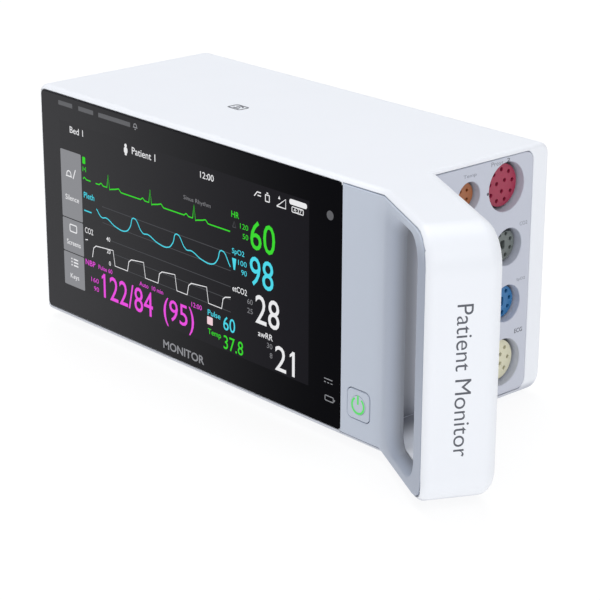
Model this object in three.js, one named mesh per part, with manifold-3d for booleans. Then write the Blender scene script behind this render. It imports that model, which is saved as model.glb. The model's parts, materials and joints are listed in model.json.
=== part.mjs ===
// Bedside and transport patient monitor with an integral side handle.
// Units are millimetres, +X to the right of the screen, +Y to the back, +Z up.
import * as THREE from 'three';
import { mergeVertices } from 'three/addons/utils/BufferGeometryUtils.js';
import Module from 'manifold-3d';

const manifold = await Module();
manifold.setup();

// ---------------------------------------------------------------- driving dimensions
const gap = 0.3;                  // clearance between neighbouring pieces
const arcSteps = 5;               // straight steps in a rounded corner or edge

const body = {
  width: 190.4, depth: 88, height: 94, wall: 2.2, frontWall: 4, sideWall: 4.4, rearWall: 3.5,
};
const edge = { frontTop: 3.2, frontBottom: 2.2, rearTop: 4.5, rearBottom: 5.5, left: 3, right: 1.5 };
const foot = { radius: 6, height: 3, recess: 1, insetX: 22, insetY: 15 };
const handle = {
  overhang: 5, angle: 27.5, reach: 49.15, depth: 26, topArm: 6.2, bottomArm: 7.2, gripWidth: 12.6,
  flareWidth: 14, flareWall: 2.2, gripWall: 3, topRadius: 14, bottomRadius: 11,
  frontEdge: 3.2, rearEdge: 5.5, openingRadius: 6,
};
// The front cover rolls into the finger window and ends there as a lip.
const roll = {
  left: 9, right: 2, top: 2.4, bottom: 3, corner: 3, depth: 6, lip: 1.2, lipDepth: 4.6, steps: 7, ahead: 0.1,
};
const cover = {
  width: 19.4, thickness: 2, topMargin: 1.9, bottomMargin: 1.8, endMargin: 3.4, buttonLedge: 3,
};
const glass = { left: 2.2, top: 1.9, bottom: 2.2, thickness: 1.1, radius: 2, ledge: 1.2 };
const screen = { left: 14, right: 16.6, bottom: 14, top: 11.8, panel: 2.5, backlight: 2.5 };
const frame = { depth: 5.6 };
const chassis = { thickness: 1.5, standOff: 1.2, margin: 5, boss: 3.2 };
const board = { thickness: 1.6, screwInset: 8, left: 14, right: 20, margin: 6 };
const screw = { shank: 1.1, head: 2.2, headHeight: 1.5, clearance: 0.3 };
const shield = { left: 60, bottom: 37, width: 40, height: 35, depth: 3.6, wall: 0.6 };
const button = {
  size: 10.9, radius: 2, fromBend: 10.3, height: 14.5, travel: 0.9, proud: 0.2, flange: 1, rim: 1,
  symbol: 3.2,
};
const powerSwitch = {
  width: 5, depth: 3, standOff: 0.4, stemRadius: 1.2, stemLength: 2.7, boardHeight: 20, wallGap: 1.5,
  boardMargin: 2,
};
const lamps = { height: 1.8, fromTop: 5.8, depth: 3, spans: [[13.8, 23], [26.9, 36.5], [39.7, 59.6]] };
const sensor = { fromSeam: 6, fromTop: 14.4, radius: 1.8, depth: 2.5 };
const panel = {
  front: 9, rear: 8.5, margin: 1.8, thickness: 2, radius: 4, recessDepth: 11, tubeWall: 1.2, ledge: 0.6,
  window: 34,
};
const insert = { depth: 2.8, length: 16, contact: 0.7, contactDepth: 3, key: 1.6, ringShare: 0.66 };
const socketColumn = { lowest: 14.4, fromTop: 12.8 };
// level counts the steps up the column, from the lowest socket at 0 to the highest at 3
const sockets = [
  { name: 'pressure_socket', y: 66, level: 3, radius: 9.1, contacts: 12, colour: 0xa8324d },
  { name: 'gas_socket', y: 68, level: 1.98, radius: 7, contacts: 8, colour: 0x7e8482 },
  { name: 'oximetry_socket', y: 68.4, level: 1.01, radius: 7, contacts: 8, colour: 0x3b77a6 },
  { name: 'ecg_socket', y: 67.4, level: 0, radius: 9, contacts: 12, colour: 0xd9d6bc },
  { name: 'temperature_socket', y: 46.9, level: 3, radius: 5.5, contacts: 4, colour: 0xa9694a },
];
const airPort = { y: 46.9, z: 24, radius: 7, nozzle: 3.2, bore: 1.8, collar: 5.4, length: 9 };
const measureBoard = { front: 28, rear: 6, margin: 8, backOff: 1.2, portHole: 7 };
const battery = {
  length: 80, depth: 41.8, height: 24.2, rearInset: 11, bottom: 4.9, clearance: 0.4,
  radius: 0.8, notchDepth: 3, notchHeight: 6,
};
const sleeve = { wall: 1.5, end: 1.5, contactDepth: 2.4, catchSlot: 9 };
const eject = {
  y: 60, z: 40, width: 12, height: 6, radius: 1.5, travel: 2.5, stem: 10, flange: 1.2, lip: 1.2,
};
const batteryCatch = { width: 6, depth: 8, x: 14 };
const speaker = {
  y: 24, z: 62, radius: 13, depth: 7, magnet: 7.8, slots: 6, slotPitch: 3.6, slotWidth: 1.6, slotShare: 0.85,
};
const pump = {
  x: 87, behind: 2.2, height: 5.5, radius: 11.5, length: 27, rotor: 8, rotorWidth: 2.6, motor: 26,
  crank: 4, pin: 1.2,
};
const valves = {
  x: 96, y: 20, z: 5, length: 30, depth: 16, height: 16, capRadius: 5.5, capHeight: 9, capInset: 8,
};
const tube = { outer: 2.4, rise: 7, shoulder: 12, besideMotor: 6 };
const powerBoard = { x: 20, z: 44, width: 120, fromTop: 12, y: 64, coil: 9, coilHeight: 7 };
const antenna = { x: 20, y: 18, length: 34, depth: 12, drop: 2.2, thickness: 1 };
const mount = {
  x: 84, z: 47, width: 104, height: 60, thickness: 2.4, recess: 1.2, rail: 12, railDepth: 1.2, radius: 5,
};
const mountScrew = {
  insetX: 8, insetZ: 7, shank: 1.5, head: 3, headHeight: 1.2, length: 8, boss: 4,
};
const latch = {
  aboveMount: 5, height: 8, thickness: 3, fromRear: 5, pawlWidth: 7, travel: 4, buttonHeight: 12,
  buttonDepth: 5,
};
const latchSpring = { outer: 2.6, inner: 1.8, length: 7 };
const link = { x: 154, z: 17, width: 22, height: 12, depth: 9, recess: 5, wall: 1.6, rim: 2.2 };
const linkCover = { thickness: 1.2, pin: 0.8, knuckle: 1.35, running: 0.08, knuckleLength: 8 };

// ---------------------------------------------------------------- derived levels and directions
const bottom = foot.height;
const top = bottom + body.height;
const turn = THREE.MathUtils.degToRad(handle.angle);
const bend = new THREE.Vector3(body.width + handle.overhang, 0, 0);
const X = new THREE.Vector3(1, 0, 0);
const Y = new THREE.Vector3(0, 1, 0);
const Z = new THREE.Vector3(0, 0, 1);
const along = new THREE.Vector3(Math.cos(turn), -Math.sin(turn), 0);
const inward = new THREE.Vector3(Math.sin(turn), Math.cos(turn), 0);
const origin = new THREE.Vector3();

// A plane to draw in: two axes of the drawing and the axis that it is extruded along.
const planes = {
  plan: { across: X, up: Y, axis: Z, origin },
  front: { across: X, up: Z, axis: Y, origin },
  side: { across: Y, up: Z, axis: X, origin },
  handle: { across: along, up: Z, axis: inward, origin: bend },
};

// ---------------------------------------------------------------- shape helpers
function planePoint(plane, a, b, c) {
  return plane.origin.clone().addScaledVector(plane.across, a).addScaledVector(plane.up, b)
    .addScaledVector(plane.axis, c);
}

function isRightHanded(plane) {
  return new THREE.Vector3().crossVectors(plane.across, plane.up).dot(plane.axis) > 0;
}

// Outline of a rectangle with a radius for each corner, counter-clockwise from (x0, y0).
function roundedOutline([x0, x1, y0, y1], radii, inset = 0) {
  const corners = [[x0, y0, 1, 1], [x1, y0, -1, 1], [x1, y1, -1, -1], [x0, y1, 1, -1]];
  return corners.flatMap(([x, y, dx, dy], index) => {
    const radius = Math.max((radii[index] ?? radii) - inset, 0.02);
    const centre = new THREE.Vector2(x + dx * (inset + radius), y + dy * (inset + radius));
    const start = Math.PI + index * Math.PI / 2;
    return Array.from({ length: arcSteps + 1 }, (_, step) => {
      const angle = start + (step / arcSteps) * Math.PI / 2;
      return new THREE.Vector2(Math.cos(angle), Math.sin(angle)).multiplyScalar(radius).add(centre);
    });
  });
}

function rectangle([x0, x1, y0, y1]) {
  return [[x0, y0], [x1, y0], [x1, y1], [x0, y1]].map(([x, y]) => new THREE.Vector2(x, y));
}

function circle(x, y, radius, sides = 24) {
  return Array.from({ length: sides }, (_, step) => {
    const angle = 2 * Math.PI * step / sides;
    return new THREE.Vector2(x + radius * Math.cos(angle), y + radius * Math.sin(angle));
  });
}

function toSolid(geometry) {
  const bare = geometry.index ? geometry.toNonIndexed() : geometry.clone();
  bare.deleteAttribute('normal');
  bare.deleteAttribute('uv');
  const merged = mergeVertices(bare, 1e-4);
  return new manifold.Manifold(new manifold.Mesh({
    numProp: 3,
    vertProperties: new Float32Array(merged.attributes.position.array),
    triVerts: new Uint32Array(merged.index.array),
  }));
}

// Straight extrusion of an outline drawn in a plane, between two depths along its axis.
function extrude(outline, plane, low, high) {
  const geometry = new THREE.ExtrudeGeometry(new THREE.Shape(outline), { depth: high - low,
    bevelEnabled: false });
  const rightHanded = isRightHanded(plane);
  const normal = plane.axis.clone().multiplyScalar(rightHanded ? 1 : -1);
  const matrix = new THREE.Matrix4().makeBasis(plane.across, plane.up, normal);
  matrix.setPosition(planePoint(plane, 0, 0, rightHanded ? low : high));
  return toSolid(geometry.applyMatrix4(matrix));
}

// Solid through a row of rings, each the same outline inset by its own amount at its own depth.
function loft(outlineAt, plane, profile) {
  const rings = profile.map(([depth, inset]) => outlineAt(inset).map((p) => planePoint(plane, p.x, p.y,
    depth)));
  const count = rings[0].length;
  const positions = rings.flat().flatMap((p) => [p.x, p.y, p.z]);
  const faces = [];
  for (let ring = 0; ring + 1 < rings.length; ring += 1) {
    for (let point = 0; point < count; point += 1) {
      const a = ring * count + point;
      const b = ring * count + (point + 1) % count;
      faces.push([a, b, b + count], [a, b + count, a + count]);
    }
  }
  const last = (rings.length - 1) * count;
  for (const [a, b, c] of THREE.ShapeUtils.triangulateShape(outlineAt(profile[0][1]), [])) {
    faces.push([c, b, a]);
  }
  for (const [a, b, c] of THREE.ShapeUtils.triangulateShape(outlineAt(profile.at(-1)[1]), [])) {
    faces.push([last + a, last + b, last + c]);
  }
  const rightHanded = isRightHanded(plane);
  const index = faces.flatMap(([a, b, c]) => (rightHanded ? [a, b, c] : [c, b, a]));
  const geometry = new THREE.BufferGeometry();
  geometry.setAttribute('position', new THREE.Float32BufferAttribute(positions, 3));
  geometry.setIndex(index);
  return toSolid(geometry);
}

// Depth and inset pairs that round both ends of a loft.
function filletProfile(low, high, lowRadius, highRadius) {
  const profile = [];
  for (let step = 0; step <= arcSteps; step += 1) {
    const angle = (step / arcSteps) * Math.PI / 2;
    profile.push([low + lowRadius * (1 - Math.sin(angle)), lowRadius * (1 - Math.cos(angle))]);
  }
  profile.reverse();
  const end = [];
  for (let step = 0; step <= arcSteps; step += 1) {
    const angle = (step / arcSteps) * Math.PI / 2;
    end.push([high - highRadius * (1 - Math.sin(angle)), highRadius * (1 - Math.cos(angle))]);
  }
  return [...profile, ...end];
}

function box(x0, x1, y0, y1, z0, z1) {
  return extrude(rectangle([x0, x1, y0, y1]), planes.plan, z0, z1);
}

function rod(plane, a, b, radius, low, high, sides = 24) {
  return extrude(circle(a, b, radius, sides), plane, low, high);
}

const join = (...solids) => solids.reduce((whole, solid) => whole.add(solid));
const cut = (solid, ...tools) => tools.reduce((rest, tool) => rest.subtract(tool), solid);
const grow = ([x0, x1, y0, y1], by) => [x0 - by, x1 + by, y0 - by, y1 + by];

// ---------------------------------------------------------------- nodes
const monitor = new THREE.Group();
const finishes = {
  housing: { color: 0xe3e4ea, roughness: 0.42, metalness: 0 },
  cover: { color: 0xb7c1cd, roughness: 0.5, metalness: 0 },
  panel: { color: 0xc5c7d3, roughness: 0.55, metalness: 0 },
  glass: { color: 0x0c0c12, roughness: 0.08, metalness: 0 },
  display: { color: 0x26262c, roughness: 0.3, metalness: 0 },
  dark: { color: 0x3a3c40, roughness: 0.6, metalness: 0 },
  rubber: { color: 0x4a4c50, roughness: 0.85, metalness: 0 },
  circuit: { color: 0x1f6b3a, roughness: 0.5, metalness: 0 },
  aluminium: { color: 0xb8babd, roughness: 0.35, metalness: 1 },
  steel: { color: 0xc4c6c9, roughness: 0.3, metalness: 1 },
  brass: { color: 0xc9a35a, roughness: 0.3, metalness: 1 },
  lamp: { color: 0x9aa0a8, roughness: 0.25, metalness: 0 },
  symbol: { color: 0x5bd15b, roughness: 0.3, metalness: 0 },
  tubing: { color: 0xd8d8d0, roughness: 0.5, metalness: 0 },
};

function addNode(name, solid, finish) {
  const { vertProperties, triVerts } = solid.getMesh();
  const geometry = new THREE.BufferGeometry();
  geometry.setAttribute('position', new THREE.BufferAttribute(new Float32Array(vertProperties), 3));
  geometry.setIndex(new THREE.BufferAttribute(new Uint32Array(triVerts), 1));
  geometry.computeVertexNormals();
  const mesh = new THREE.Mesh(geometry, new THREE.MeshStandardMaterial(finish));
  mesh.name = name;
  monitor.add(mesh);
}

// ---------------------------------------------------------------- shared places
const seamX = bend.x - cover.width;                     // joint between the glass and the front cover
const glassArea = [glass.left, seamX - gap, bottom + glass.bottom, top - glass.top];
const glassBack = glass.thickness + gap;
const frameArea = grow(glassArea, -glass.ledge - gap);
const screenX = screen.left;
const screenZ = bottom + screen.bottom;
const screenArea = [screenX, seamX - screen.right, screenZ, top - screen.top];
const inside = [body.wall, body.width - body.sideWall, bottom + body.wall, top - body.wall];
const rearInside = body.depth - body.rearWall;
const openingBottom = bottom + handle.bottomArm;
const openingTop = top - handle.topArm;
const gripInner = handle.reach - handle.gripWidth;
const buttonX = bend.x - button.fromBend;
const buttonZ = bottom + button.height;
const socketLowest = bottom + socketColumn.lowest;
const socketStep = (top - socketColumn.fromTop - socketLowest) / 3;
const socketZ = (level) => socketLowest + level * socketStep;
const panelArea = [panel.front, body.depth - panel.rear, bottom + panel.margin, top - panel.margin];
const panelBack = body.width - panel.thickness;
const insertFront = body.width - insert.depth;
const insertBack = insertFront - insert.length;
const measureBoardX = insertBack - measureBoard.backOff - board.thickness;

const squareOutline = (centreX, centreZ, size, radius) => roundedOutline(
  [centreX - size / 2, centreX + size / 2, centreZ - size / 2, centreZ + size / 2], radius);

// ---------------------------------------------------------------- main housing
// Outer body: a rounded bar along X, and a short block that carries the front out to the bend.
function bodyBlock() {
  const radii = [edge.frontBottom, edge.rearBottom, edge.rearTop, edge.frontTop];
  const bar = loft((inset) => roundedOutline([0, body.depth, bottom, top], radii, inset), planes.side,
    filletProfile(0, body.width, edge.left, edge.right));
  const rootDepth = handle.depth / 2;
  const rootEnd = bend.x + handle.flareWidth / 2;
  const root = extrude(roundedOutline([0, rootDepth, bottom, top], [edge.frontBottom, 1, 1, edge.frontTop]),
    planes.side, body.width / 2, rootEnd);
  return join(bar, root);
}

function handleBlock() {
  const start = -handle.depth;
  const radii = [1, handle.bottomRadius, handle.topRadius, 1];
  return loft((inset) => roundedOutline([start, handle.reach, bottom, top], radii, inset), planes.handle,
    filletProfile(0, handle.depth, handle.frontEdge, handle.rearEdge));
}

// The finger window through the handle, with its mouth rolled outwards to the front face.
function rolledWindow(growth, back) {
  const outlineAt = (share) => roundedOutline([
    handle.flareWidth - growth - roll.left * share, gripInner + growth + roll.right * share,
    openingBottom - growth - roll.bottom * share, openingTop + growth + roll.top * share,
  ], handle.openingRadius + growth + roll.corner * share);
  const mouth = Array.from({ length: roll.steps }, (_, step) => {
    const angle = ((step + 1) / roll.steps) * Math.PI / 2;
    return [roll.depth * (1 - Math.cos(angle)), 1 - Math.sin(angle)];
  });
  // The first stretch runs on to a little ahead of the face, so that no ring lies in the face itself.
  const [[firstDepth, firstShare]] = mouth;
  const ahead = [-roll.ahead, firstShare + (1 - firstShare) * (firstDepth + roll.ahead) / firstDepth];
  return loft(outlineAt, planes.handle, [ahead, ...mouth, [back, 0]]);
}

// The part of the rolled window, grown, that lies between two depths under the handle's front face.
function windowSlice(growth, low, high) {
  const slab = extrude(rectangle([-handle.reach, handle.reach, 0, top * 2]), planes.handle, low, high);
  return rolledWindow(growth, handle.depth).intersect(slab);
}

// Finger space: the rolled window and a pocket that opens to the back.
function fingerSpace() {
  const flareBack = cover.thickness + gap + handle.flareWall;
  const reachBack = handle.depth * 3;
  const cornerAlong = (body.width - bend.x - flareBack * inward.x) / along.x;
  const corner = planePoint(planes.handle, cornerAlong, 0, flareBack);
  const right = planePoint(planes.handle, gripInner, 0, flareBack);
  const rearRight = planePoint(planes.handle, gripInner, 0, reachBack);
  const outline = [corner, right, rearRight, new THREE.Vector3(body.width, rearRight.y, 0)]
    .map((p) => new THREE.Vector2(p.x, p.y));
  return join(rolledWindow(0, handle.depth * 2), extrude(outline, planes.plan, openingBottom, openingTop));
}

// The bent plate on the front, and with growth the recess that it sits in.
function coverPlate(growth) {
  const thickness = cover.thickness + growth;
  const cornerAlong = -thickness * Math.tan(turn / 2);
  const end = handle.reach - cover.endMargin + growth;
  const inner = planePoint(planes.handle, cornerAlong, 0, thickness);
  const ahead = growth * 10;
  const outline = [
    new THREE.Vector2(seamX - growth, -ahead),
    new THREE.Vector2(bend.x + ahead * Math.tan(turn / 2), -ahead),
    planePoint(planes.handle, end, 0, -ahead),
    planePoint(planes.handle, end, 0, thickness),
    inner,
    new THREE.Vector2(seamX - growth, thickness),
  ].map((p) => new THREE.Vector2(p.x, p.y));
  const low = bottom + cover.bottomMargin - growth;
  const high = top - cover.topMargin + growth;
  const rim = [0.02, handle.bottomRadius - cover.endMargin, handle.topRadius - cover.endMargin, 0.02];
  const sides = extrude(roundedOutline([-handle.reach, end, low, high], rim), planes.handle,
    -handle.depth * 2, handle.depth * 2);
  return extrude(outline, planes.plan, low, high).intersect(sides);
}

function gripHollow() {
  const area = [gripInner + handle.gripWall, handle.reach - handle.gripWall - cover.endMargin / 2,
    openingBottom, openingTop];
  return extrude(rectangle(area), planes.handle, 0, handle.depth - handle.gripWall);
}

const batteryArea = (() => {
  const rear = body.depth - battery.rearInset;
  const base = bottom + battery.bottom;
  return [rear - battery.depth, rear, base, base + battery.height];
})();
const ejectZ = bottom + eject.z;
const ejectArea = [eject.y - eject.width / 2, eject.y + eject.width / 2, ejectZ - eject.height / 2,
  ejectZ + eject.height / 2];
const mountZ = bottom + mount.z;
const latchZ = mountZ + latch.aboveMount;
const latchRear = body.depth - latch.fromRear;
const latchButtonArea = [latchRear - latch.buttonDepth, latchRear, latchZ - latch.buttonHeight / 2,
  latchZ + latch.buttonHeight / 2];
const mountArea = [mount.x - mount.width / 2, mount.x + mount.width / 2, mountZ - mount.height / 2,
  mountZ + mount.height / 2];
const mountInner = body.depth - mount.recess + gap;
const mountOuter = mountInner + mount.thickness;
const mountScrews = [-1, 1].flatMap((sx) => [-1, 1].map((sz) => [
  mount.x + sx * (mount.width / 2 - mountScrew.insetX),
    mountZ + sz * (mount.height / 2 - mountScrew.insetZ)]));
const linkZ = bottom + link.z;
const linkArea = [link.x - link.width / 2, link.x + link.width / 2, linkZ - link.height / 2,
  linkZ + link.height / 2];
const linkRear = body.depth - linkCover.knuckle * 2 - gap * 2;
const linkFront = linkRear - link.depth;
const hingeX = linkArea[0] - link.rim;
const hingeY = body.depth - linkCover.thickness / 2 - gap;
const linkPocket = [hingeX - linkCover.knuckle - gap * 2, linkArea[1] + link.rim + gap,
  linkArea[2] - link.rim - gap, linkArea[3] + link.rim + gap];
const feet = [foot.insetX, body.width - foot.insetX].flatMap((x) => [foot.insetY, body.depth - foot.insetY]
  .map((y) => [x, y]));

function speakerSlots() {
  const slots = Array.from({ length: speaker.slots }, (_, index) => {
    const offset = (index - (speaker.slots - 1) / 2) * speaker.slotPitch;
    const half = Math.sqrt(speaker.radius ** 2 - offset ** 2) * speaker.slotShare;
    const z = bottom + speaker.z + offset;
    const area = [speaker.y - half, speaker.y + half, z - speaker.slotWidth / 2, z + speaker.slotWidth / 2];
    return extrude(roundedOutline(area, speaker.slotWidth / 2 - 0.05), planes.side, -1, body.wall + 1);
  });
  return join(...slots);
}

function mountBoss(x, z) {
  return rod(planes.front, x, z, mountScrew.boss, body.depth - mountScrew.length, body.depth - mount.recess);
}

function buildHousing() {
  const shell = cut(
    join(bodyBlock(), handleBlock()),
    fingerSpace(),
    coverPlate(gap),
    windowSlice(roll.lip + gap, -0.5, roll.lipDepth + gap),
    gripHollow(),
    extrude(rectangle(inside), planes.front, body.frontWall, rearInside),
    extrude(roundedOutline(grow(glassArea, gap), glass.radius), planes.front, -1, glassBack),
    extrude(roundedOutline(grow(glassArea, -glass.ledge), glass.radius - glass.ledge), planes.front, 0,
      body.frontWall + 1),
    box(seamX + cover.buttonLedge, inside[1], 0, body.frontWall + 1, bottom + body.wall * 3,
      top - body.wall * 3),
    extrude(squareOutline(buttonX, buttonZ, button.size + (button.rim + gap) * 2, button.radius),
      planes.front,
      cover.thickness, cover.thickness + gap * 2 + button.flange + button.travel + gap),
    extrude(roundedOutline(grow(panelArea, gap), panel.radius), planes.side, panelBack - gap,
      body.width + 1),
    extrude(rectangle([panel.window, panelArea[1] - panel.ledge, panelArea[2] + panel.ledge,
      panelArea[3] - panel.ledge]), planes.side, inside[1] - 1, panelBack + 1),
    extrude(roundedOutline(grow(batteryArea, battery.clearance), 1), planes.side, -1, body.wall + 1),
    extrude(roundedOutline(grow(ejectArea, gap), eject.radius), planes.side, -1, body.wall + 1),
    extrude(roundedOutline(grow(latchButtonArea, gap), eject.radius), planes.side, -1, body.wall + 1),
    speakerSlots(),
    extrude(roundedOutline(grow(mountArea, gap), mount.radius), planes.front, body.depth - mount.recess,
      body.depth + 1),
    box(mount.x - latch.pawlWidth / 2 - gap, mount.x + latch.pawlWidth / 2 + latch.travel + gap,
      rearInside - 1, body.depth + 1, latchZ - latch.height / 2 - gap, latchZ + latch.height / 2 + gap),
    extrude(rectangle(linkPocket), planes.front, linkRear, body.depth + 1),
    extrude(rectangle(grow(linkArea, gap)), planes.front, rearInside - 1, body.depth + 1),
    ...feet.map(([x, y]) => rod(planes.plan, x, y, foot.radius + gap, bottom - 1, bottom + foot.recess)),
  );
  const bosses = join(...mountScrews.map(([x, z]) => mountBoss(x, z)));
  const holes = mountScrews.map(([x, z]) => rod(planes.front, x, z, mountScrew.shank + gap,
    body.depth - mountScrew.length - 1, body.depth + 1, 12));
  return cut(join(shell, bosses), ...holes);
}

// ---------------------------------------------------------------- front: cover, button, glass, display
function buildCover() {
  const lip = windowSlice(roll.lip, cover.thickness / 2, roll.lipDepth);
  return cut(join(coverPlate(0), lip), fingerSpace(),
    extrude(squareOutline(buttonX, buttonZ, button.size + gap * 2, button.radius + gap), planes.front, -1,
      cover.thickness + 1));
}

function buildPowerButton() {
  const flangeFront = cover.thickness + gap;
  const flangeBack = flangeFront + button.flange;
  const stemX = inside[1] - powerSwitch.stemRadius - powerSwitch.wallGap;
  const cap = extrude(squareOutline(buttonX, buttonZ, button.size, button.radius), planes.front,
    -button.proud,
    flangeBack);
  const flange = extrude(squareOutline(buttonX, buttonZ, button.size + button.rim * 2, button.radius),
    planes.front, flangeFront, flangeBack);
  const stem = rod(planes.front, stemX, buttonZ, powerSwitch.stemRadius, flangeBack - 0.5,
    flangeBack + powerSwitch.stemLength, 12);
  const window = rod(planes.front, buttonX, buttonZ, button.symbol + gap, -1, cover.thickness - gap);
  addNode('power_button', cut(join(cap, flange, stem), window), finishes.cover);
  addNode('power_light_guide', rod(planes.front, buttonX, buttonZ, button.symbol, -button.proud + 0.05,
    cover.thickness - gap * 2), finishes.symbol);
  const switchFront = flangeBack + powerSwitch.stemLength + button.travel + powerSwitch.standOff;
  const switchArea = [stemX - powerSwitch.width / 2, stemX + powerSwitch.width / 2,
    buttonZ - powerSwitch.width / 2, buttonZ + powerSwitch.width / 2];
  addNode('power_switch', extrude(rectangle(switchArea), planes.front, switchFront,
    switchFront + powerSwitch.depth), finishes.dark);
  const boardFront = switchFront + powerSwitch.depth + gap;
  addNode('button_board', extrude(rectangle([switchArea[0] - powerSwitch.boardMargin, inside[1] - gap,
    buttonZ - powerSwitch.boardHeight / 2, buttonZ + powerSwitch.boardHeight / 2]), planes.front, boardFront,
  boardFront + board.thickness), finishes.circuit);
}

function buildDisplay() {
  addNode('cover_glass', extrude(roundedOutline(glassArea, glass.radius - gap), planes.front, 0,
    glass.thickness),
    finishes.glass);
  const front = glassBack + gap;
  const lampZ = top - lamps.fromTop;
  const lampAreas = lamps.spans.map(([x0, x1]) => [x0, x1, lampZ, lampZ + lamps.height]);
  const sensorX = seamX - sensor.fromSeam;
  const sensorZ = top - sensor.fromTop;
  const lampHoles = lampAreas.map((area) => extrude(rectangle(grow(area, gap)), planes.front, 0,
    front + frame.depth + 1));
  addNode('display_frame', cut(
    extrude(roundedOutline(frameArea, glass.radius - glass.ledge), planes.front, front, front + frame.depth),
    extrude(rectangle(grow(screenArea, gap)), planes.front, 0, front + frame.depth + 1),
    rod(planes.front, sensorX, sensorZ, sensor.radius + gap, 0, front + sensor.depth + gap, 16),
    ...lampHoles,
  ), finishes.dark);
  addNode('lcd_panel', extrude(rectangle(screenArea), planes.front, front, front + screen.panel),
    finishes.display);
  addNode('backlight_unit', extrude(rectangle(screenArea), planes.front, front + screen.panel + gap,
    front + screen.panel + gap + screen.backlight), finishes.lamp);
  lampAreas.forEach((area, index) => addNode(`alarm_lamp_${index + 1}`, extrude(rectangle(area),
    planes.front,
    front, front + lamps.depth), finishes.lamp));
  addNode('light_sensor', rod(planes.front, sensorX, sensorZ, sensor.radius, front, front + sensor.depth,
    16),
    finishes.dark);
  return front + frame.depth;
}

// ---------------------------------------------------------------- chassis and boards
function buildBoards(displayBack) {
  const plateFront = displayBack + gap;
  const plateBack = plateFront + chassis.thickness;
  const boardFront = plateBack + chassis.standOff + gap;
  const boardBack = boardFront + board.thickness;
  const area = [board.left, frameArea[1] - board.right, bottom + board.margin, top - board.margin];
  const plateArea = [frameArea[0] + chassis.margin, frameArea[1] - chassis.margin,
    frameArea[2] + chassis.margin,
    frameArea[3] - chassis.margin];
  const holes = [area[0] + board.screwInset, area[1] - board.screwInset].flatMap((x) => [
    area[2] + board.screwInset, area[3] - board.screwInset].map((z) => [x, z]));
  const hole = ([x, z]) => rod(planes.front, x, z, screw.shank + screw.clearance, plateFront - 1,
    boardBack + 1, 12);
  const bosses = holes.map(([x, z]) => rod(planes.front, x, z, chassis.boss, plateFront,
    plateBack + chassis.standOff, 16));
  addNode('chassis_plate', cut(join(extrude(rectangle(plateArea), planes.front, plateFront, plateBack),
    ...bosses),
    ...holes.map(hole)), finishes.aluminium);
  addNode('main_board', cut(extrude(rectangle(area), planes.front, boardFront, boardBack),
    ...holes.map(hole)),
    finishes.circuit);
  holes.forEach(([x, z], index) => {
    const headFront = boardBack + gap;
    addNode(`board_screw_${index + 1}`, join(
      rod(planes.front, x, z, screw.shank, plateFront + gap, headFront + 0.1, 12),
      rod(planes.front, x, z, screw.head, headFront, headFront + screw.headHeight, 16),
    ), finishes.steel);
  });
  const shieldArea = [shield.left, shield.left + shield.width, bottom + shield.bottom,
    bottom + shield.bottom + shield.height];
  addNode('processor_shield', cut(
    extrude(rectangle(shieldArea), planes.front, boardBack + gap, boardBack + gap + shield.depth),
    extrude(rectangle(grow(shieldArea, -shield.wall)), planes.front, boardBack,
      boardBack + gap + shield.depth
      - shield.wall),
  ), finishes.steel);
  const powerZ = bottom + powerBoard.z;
  const coilX = powerBoard.x + powerBoard.width / 2;
  const powerTop = top - powerBoard.fromTop;
  const coilZ = (powerZ + powerTop) / 2;
  addNode('power_board', extrude(rectangle([powerBoard.x, powerBoard.x + powerBoard.width, powerZ,
    powerTop]), planes.front, powerBoard.y, powerBoard.y + board.thickness), finishes.circuit);
  addNode('power_inductor', rod(planes.front, coilX, coilZ, powerBoard.coil, powerBoard.y - gap
    - powerBoard.coilHeight, powerBoard.y - gap, 20), finishes.dark);
  const antennaTop = inside[3] - antenna.drop;
  addNode('wireless_antenna', box(antenna.x, antenna.x + antenna.length, antenna.y,
    antenna.y + antenna.depth,
    antennaTop - antenna.thickness, antennaTop), finishes.circuit);
}

// ---------------------------------------------------------------- right side: connector panel and sockets
const airPortZ = bottom + airPort.z;

function buildConnectorPanel() {
  const places = [...sockets.map(({ y, level, radius }) => [y, socketZ(level), radius]),
    [airPort.y, airPortZ, airPort.radius]];
  const tubes = places.map(([y, z, radius]) => rod(planes.side, y, z, radius + panel.tubeWall,
    body.width - panel.recessDepth, panelBack + 0.5, 32));
  const holes = places.map(([y, z, radius]) => rod(planes.side, y, z, radius, 0, body.width + 1, 32));
  const sheet = extrude(roundedOutline(panelArea, panel.radius - gap), planes.side, panelBack, body.width);
  addNode('connector_panel', cut(join(sheet, ...tubes), ...holes), finishes.panel);
}

function buildSocket({ name, y, level, radius, contacts, colour }) {
  const centreZ = socketZ(level);
  const outer = radius - gap;
  const ring = outer * insert.ringShare;
  const holes = Array.from({ length: contacts }, (_, index) => {
    const angle = 2 * Math.PI * (index + 0.5) / contacts;
    return rod(planes.side, y + ring * Math.cos(angle), centreZ + ring * Math.sin(angle), insert.contact,
      insertFront - insert.contactDepth, insertFront + 1, 8);
  });
  const keyway = box(insertFront - insert.contactDepth, insertFront + 1, y - insert.key, y + insert.key,
    centreZ - insert.key, centreZ + insert.key);
  addNode(name, cut(rod(planes.side, y, centreZ, outer, insertBack, insertFront, 32), keyway, ...holes),
    { color: colour, roughness: 0.45, metalness: 0 });
}

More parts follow.
